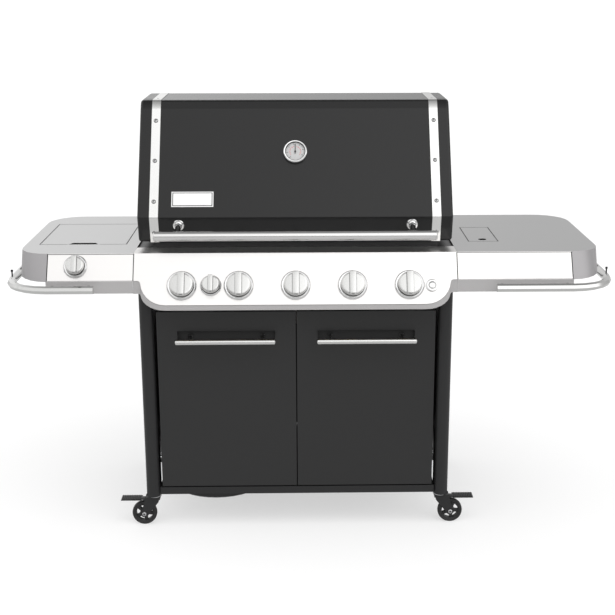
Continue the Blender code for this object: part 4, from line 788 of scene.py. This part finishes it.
# The handle is a long tube with bevelled ends; each post screws into a round chrome base on the lid.
lean_foot = spot(0, 0.0506 + 0.0194 * (1.0137 - 0.9895) / 0.0797, 0.9895) + BAND_OUT * 0.0006
tube_middle = lean_foot + BAND_OUT * 0.080
chrome = finish("bright_chrome", (0.78, 0.78, 0.78), 0.07, metal=1, spread=0.02, size=30)
tube_steel = finish(
    "handle_tube_steel", (0.74, 0.735, 0.73), 0.17, metal=1, spread=0.04, size=3, stretch=(2, 260, 260), dents=0.00001
)
HANDLE_HALF, POST_X = 0.427, 0.358
reach = Vector((HANDLE_HALF, 0, 0))
tube_outline = [(0.0122, 0), (0.0155, 0.0030), (0.0155, 0.851), (0.0122, 0.854)]
tube = turned_part("handle_tube", tube_outline, 48, tube_middle - reach, (1, 0, 0))
dress(tube, "lid", tube_steel, ("lid_handle",))
for side, side_word in ((-1, "left"), (1, "right")):
    across_lid = Vector((side * POST_X, 0, 0))
    post = turned_part(
        f"handle_post_{side_word}_shown",
        [(0.0178, 0), (0.0180, 0.0024), (0.0165, 0.0048), (0.0120, 0.0062), (0.0098, 0.0090), (0.0088, 0.0160),
         (0.0088, 0.0600), (0.0094, 0.0680), (0.0094, 0.0790)],
        40, lean_foot + across_lid, BAND_OUT,
    )
    dress(post, "lid", chrome)

# A plain silver plate with a raised rim is riveted low on the lid's left.
plate_white = finish("plate_white", (0.86, 0.86, 0.86), 0.35, metal=0.2, spread=0.02, size=200)
plate_turn = Matrix.Translation(on_lid(-0.3155, 1.0640, 0.0006)) @ Matrix.Rotation(math.pi / 2 - LID_LEAN, 4, "X")
plate_parts = []
for word, half, tall, foot, rise, look in (
    ("rim", 0.0645, 0.0250, 0.0, 0.0018, chrome), ("line", 0.0612, 0.0217, 0.0012, 0.0021, seam_black),
    ("field", 0.0590, 0.0196, 0.0016, 0.0024, plate_white),
):
    layer = block(f"plate_{word}", (-half, -tall, foot), (half, tall, rise), 0.0003, 1)
    layer.data.materials.append(look)
    plate_parts.append(layer)
plate = joined("lid_plate", plate_parts)
plate.data.transform(plate_turn)
dress(plate, "lid", None)


# ------------------------------------------------------------------ thermometer
# A chromed case screwed through the lid, with a pale dial printed with two rings of marks and a
# small black needle that turns on a pin in its middle.
DIAL_HEIGHT = 1.197
dial_turn = Matrix.Translation(on_lid(0, DIAL_HEIGHT)) @ Matrix.Rotation(math.pi / 2 - LID_LEAN, 4, "X")
dial_white = finish("dial_white", (0.52, 0.52, 0.52), 0.45, spread=0.02, size=200)
dial_dark = finish("dial_marks", (0.030, 0.030, 0.030), 0.50, size=200)
dial_red = finish("dial_red_marks", (0.62, 0.045, 0.045), 0.50, size=200)
case = turned_part(
    "dial_case",
    [(0.0302, 0.0078), (0.0302, 0.0108), (0.0316, 0.0127), (0.0345, 0.0130), (0.0364, 0.0118), (0.0375, 0.0092),
     (0.0375, 0.0030), (0.0360, 0.0005), (0.0302, 0.0005)],
    72, ring=True,
)
case.data.materials.append(chrome)
shade_outline = [(0.0294, 0.0079), (0.0294, 0.0090), (0.0304, 0.0122), (0.0304, 0.0079)]
shade = turned_part("dial_shade", shade_outline, 72, ring=True)
shade.data.materials.append(dial_dark)
face = turned_part("dial_face", [(0.0300, 0.0060), (0.0300, 0.0080), (0.0290, 0.00805), (0.0040, 0.00805)], 64)
face.data.materials.append(dial_white)
dial_pieces = [case, shade, face]
for i in range(27):
    turn = math.radians(140 - 280 * i / 26)
    long = i % 4 == 0
    half, inner_end = (0.0006, 0.0215) if long else (0.0003, 0.0250)
    mark = block(f"dial_mark_{i}", (-half, inner_end, 0.0079), (half, 0.0280, 0.00822), 0)
    mark.data.transform(Matrix.Rotation(turn, 4, "Z"))
    mark.data.materials.append(dial_dark)
    dial_pieces.append(mark)
for i in range(15):
    turn = math.radians(126 - 252 * i / 14)
    mark = block(f"dial_red_mark_{i}", (-0.0010, 0.0150 if i % 2 else 0.0165, 0.0079), (0.0010, 0.0182, 0.00822), 0)
    mark.data.transform(Matrix.Rotation(turn, 4, "Z"))
    mark.data.materials.append(dial_red)
    dial_pieces.append(mark)
dial = joined("dial_shown", dial_pieces)
dial.data.transform(dial_turn)
dress(dial, "lid", None, ("thermometer",))
eased("thermometer_needle", "needle", dial_dark, 0.0)


low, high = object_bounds()
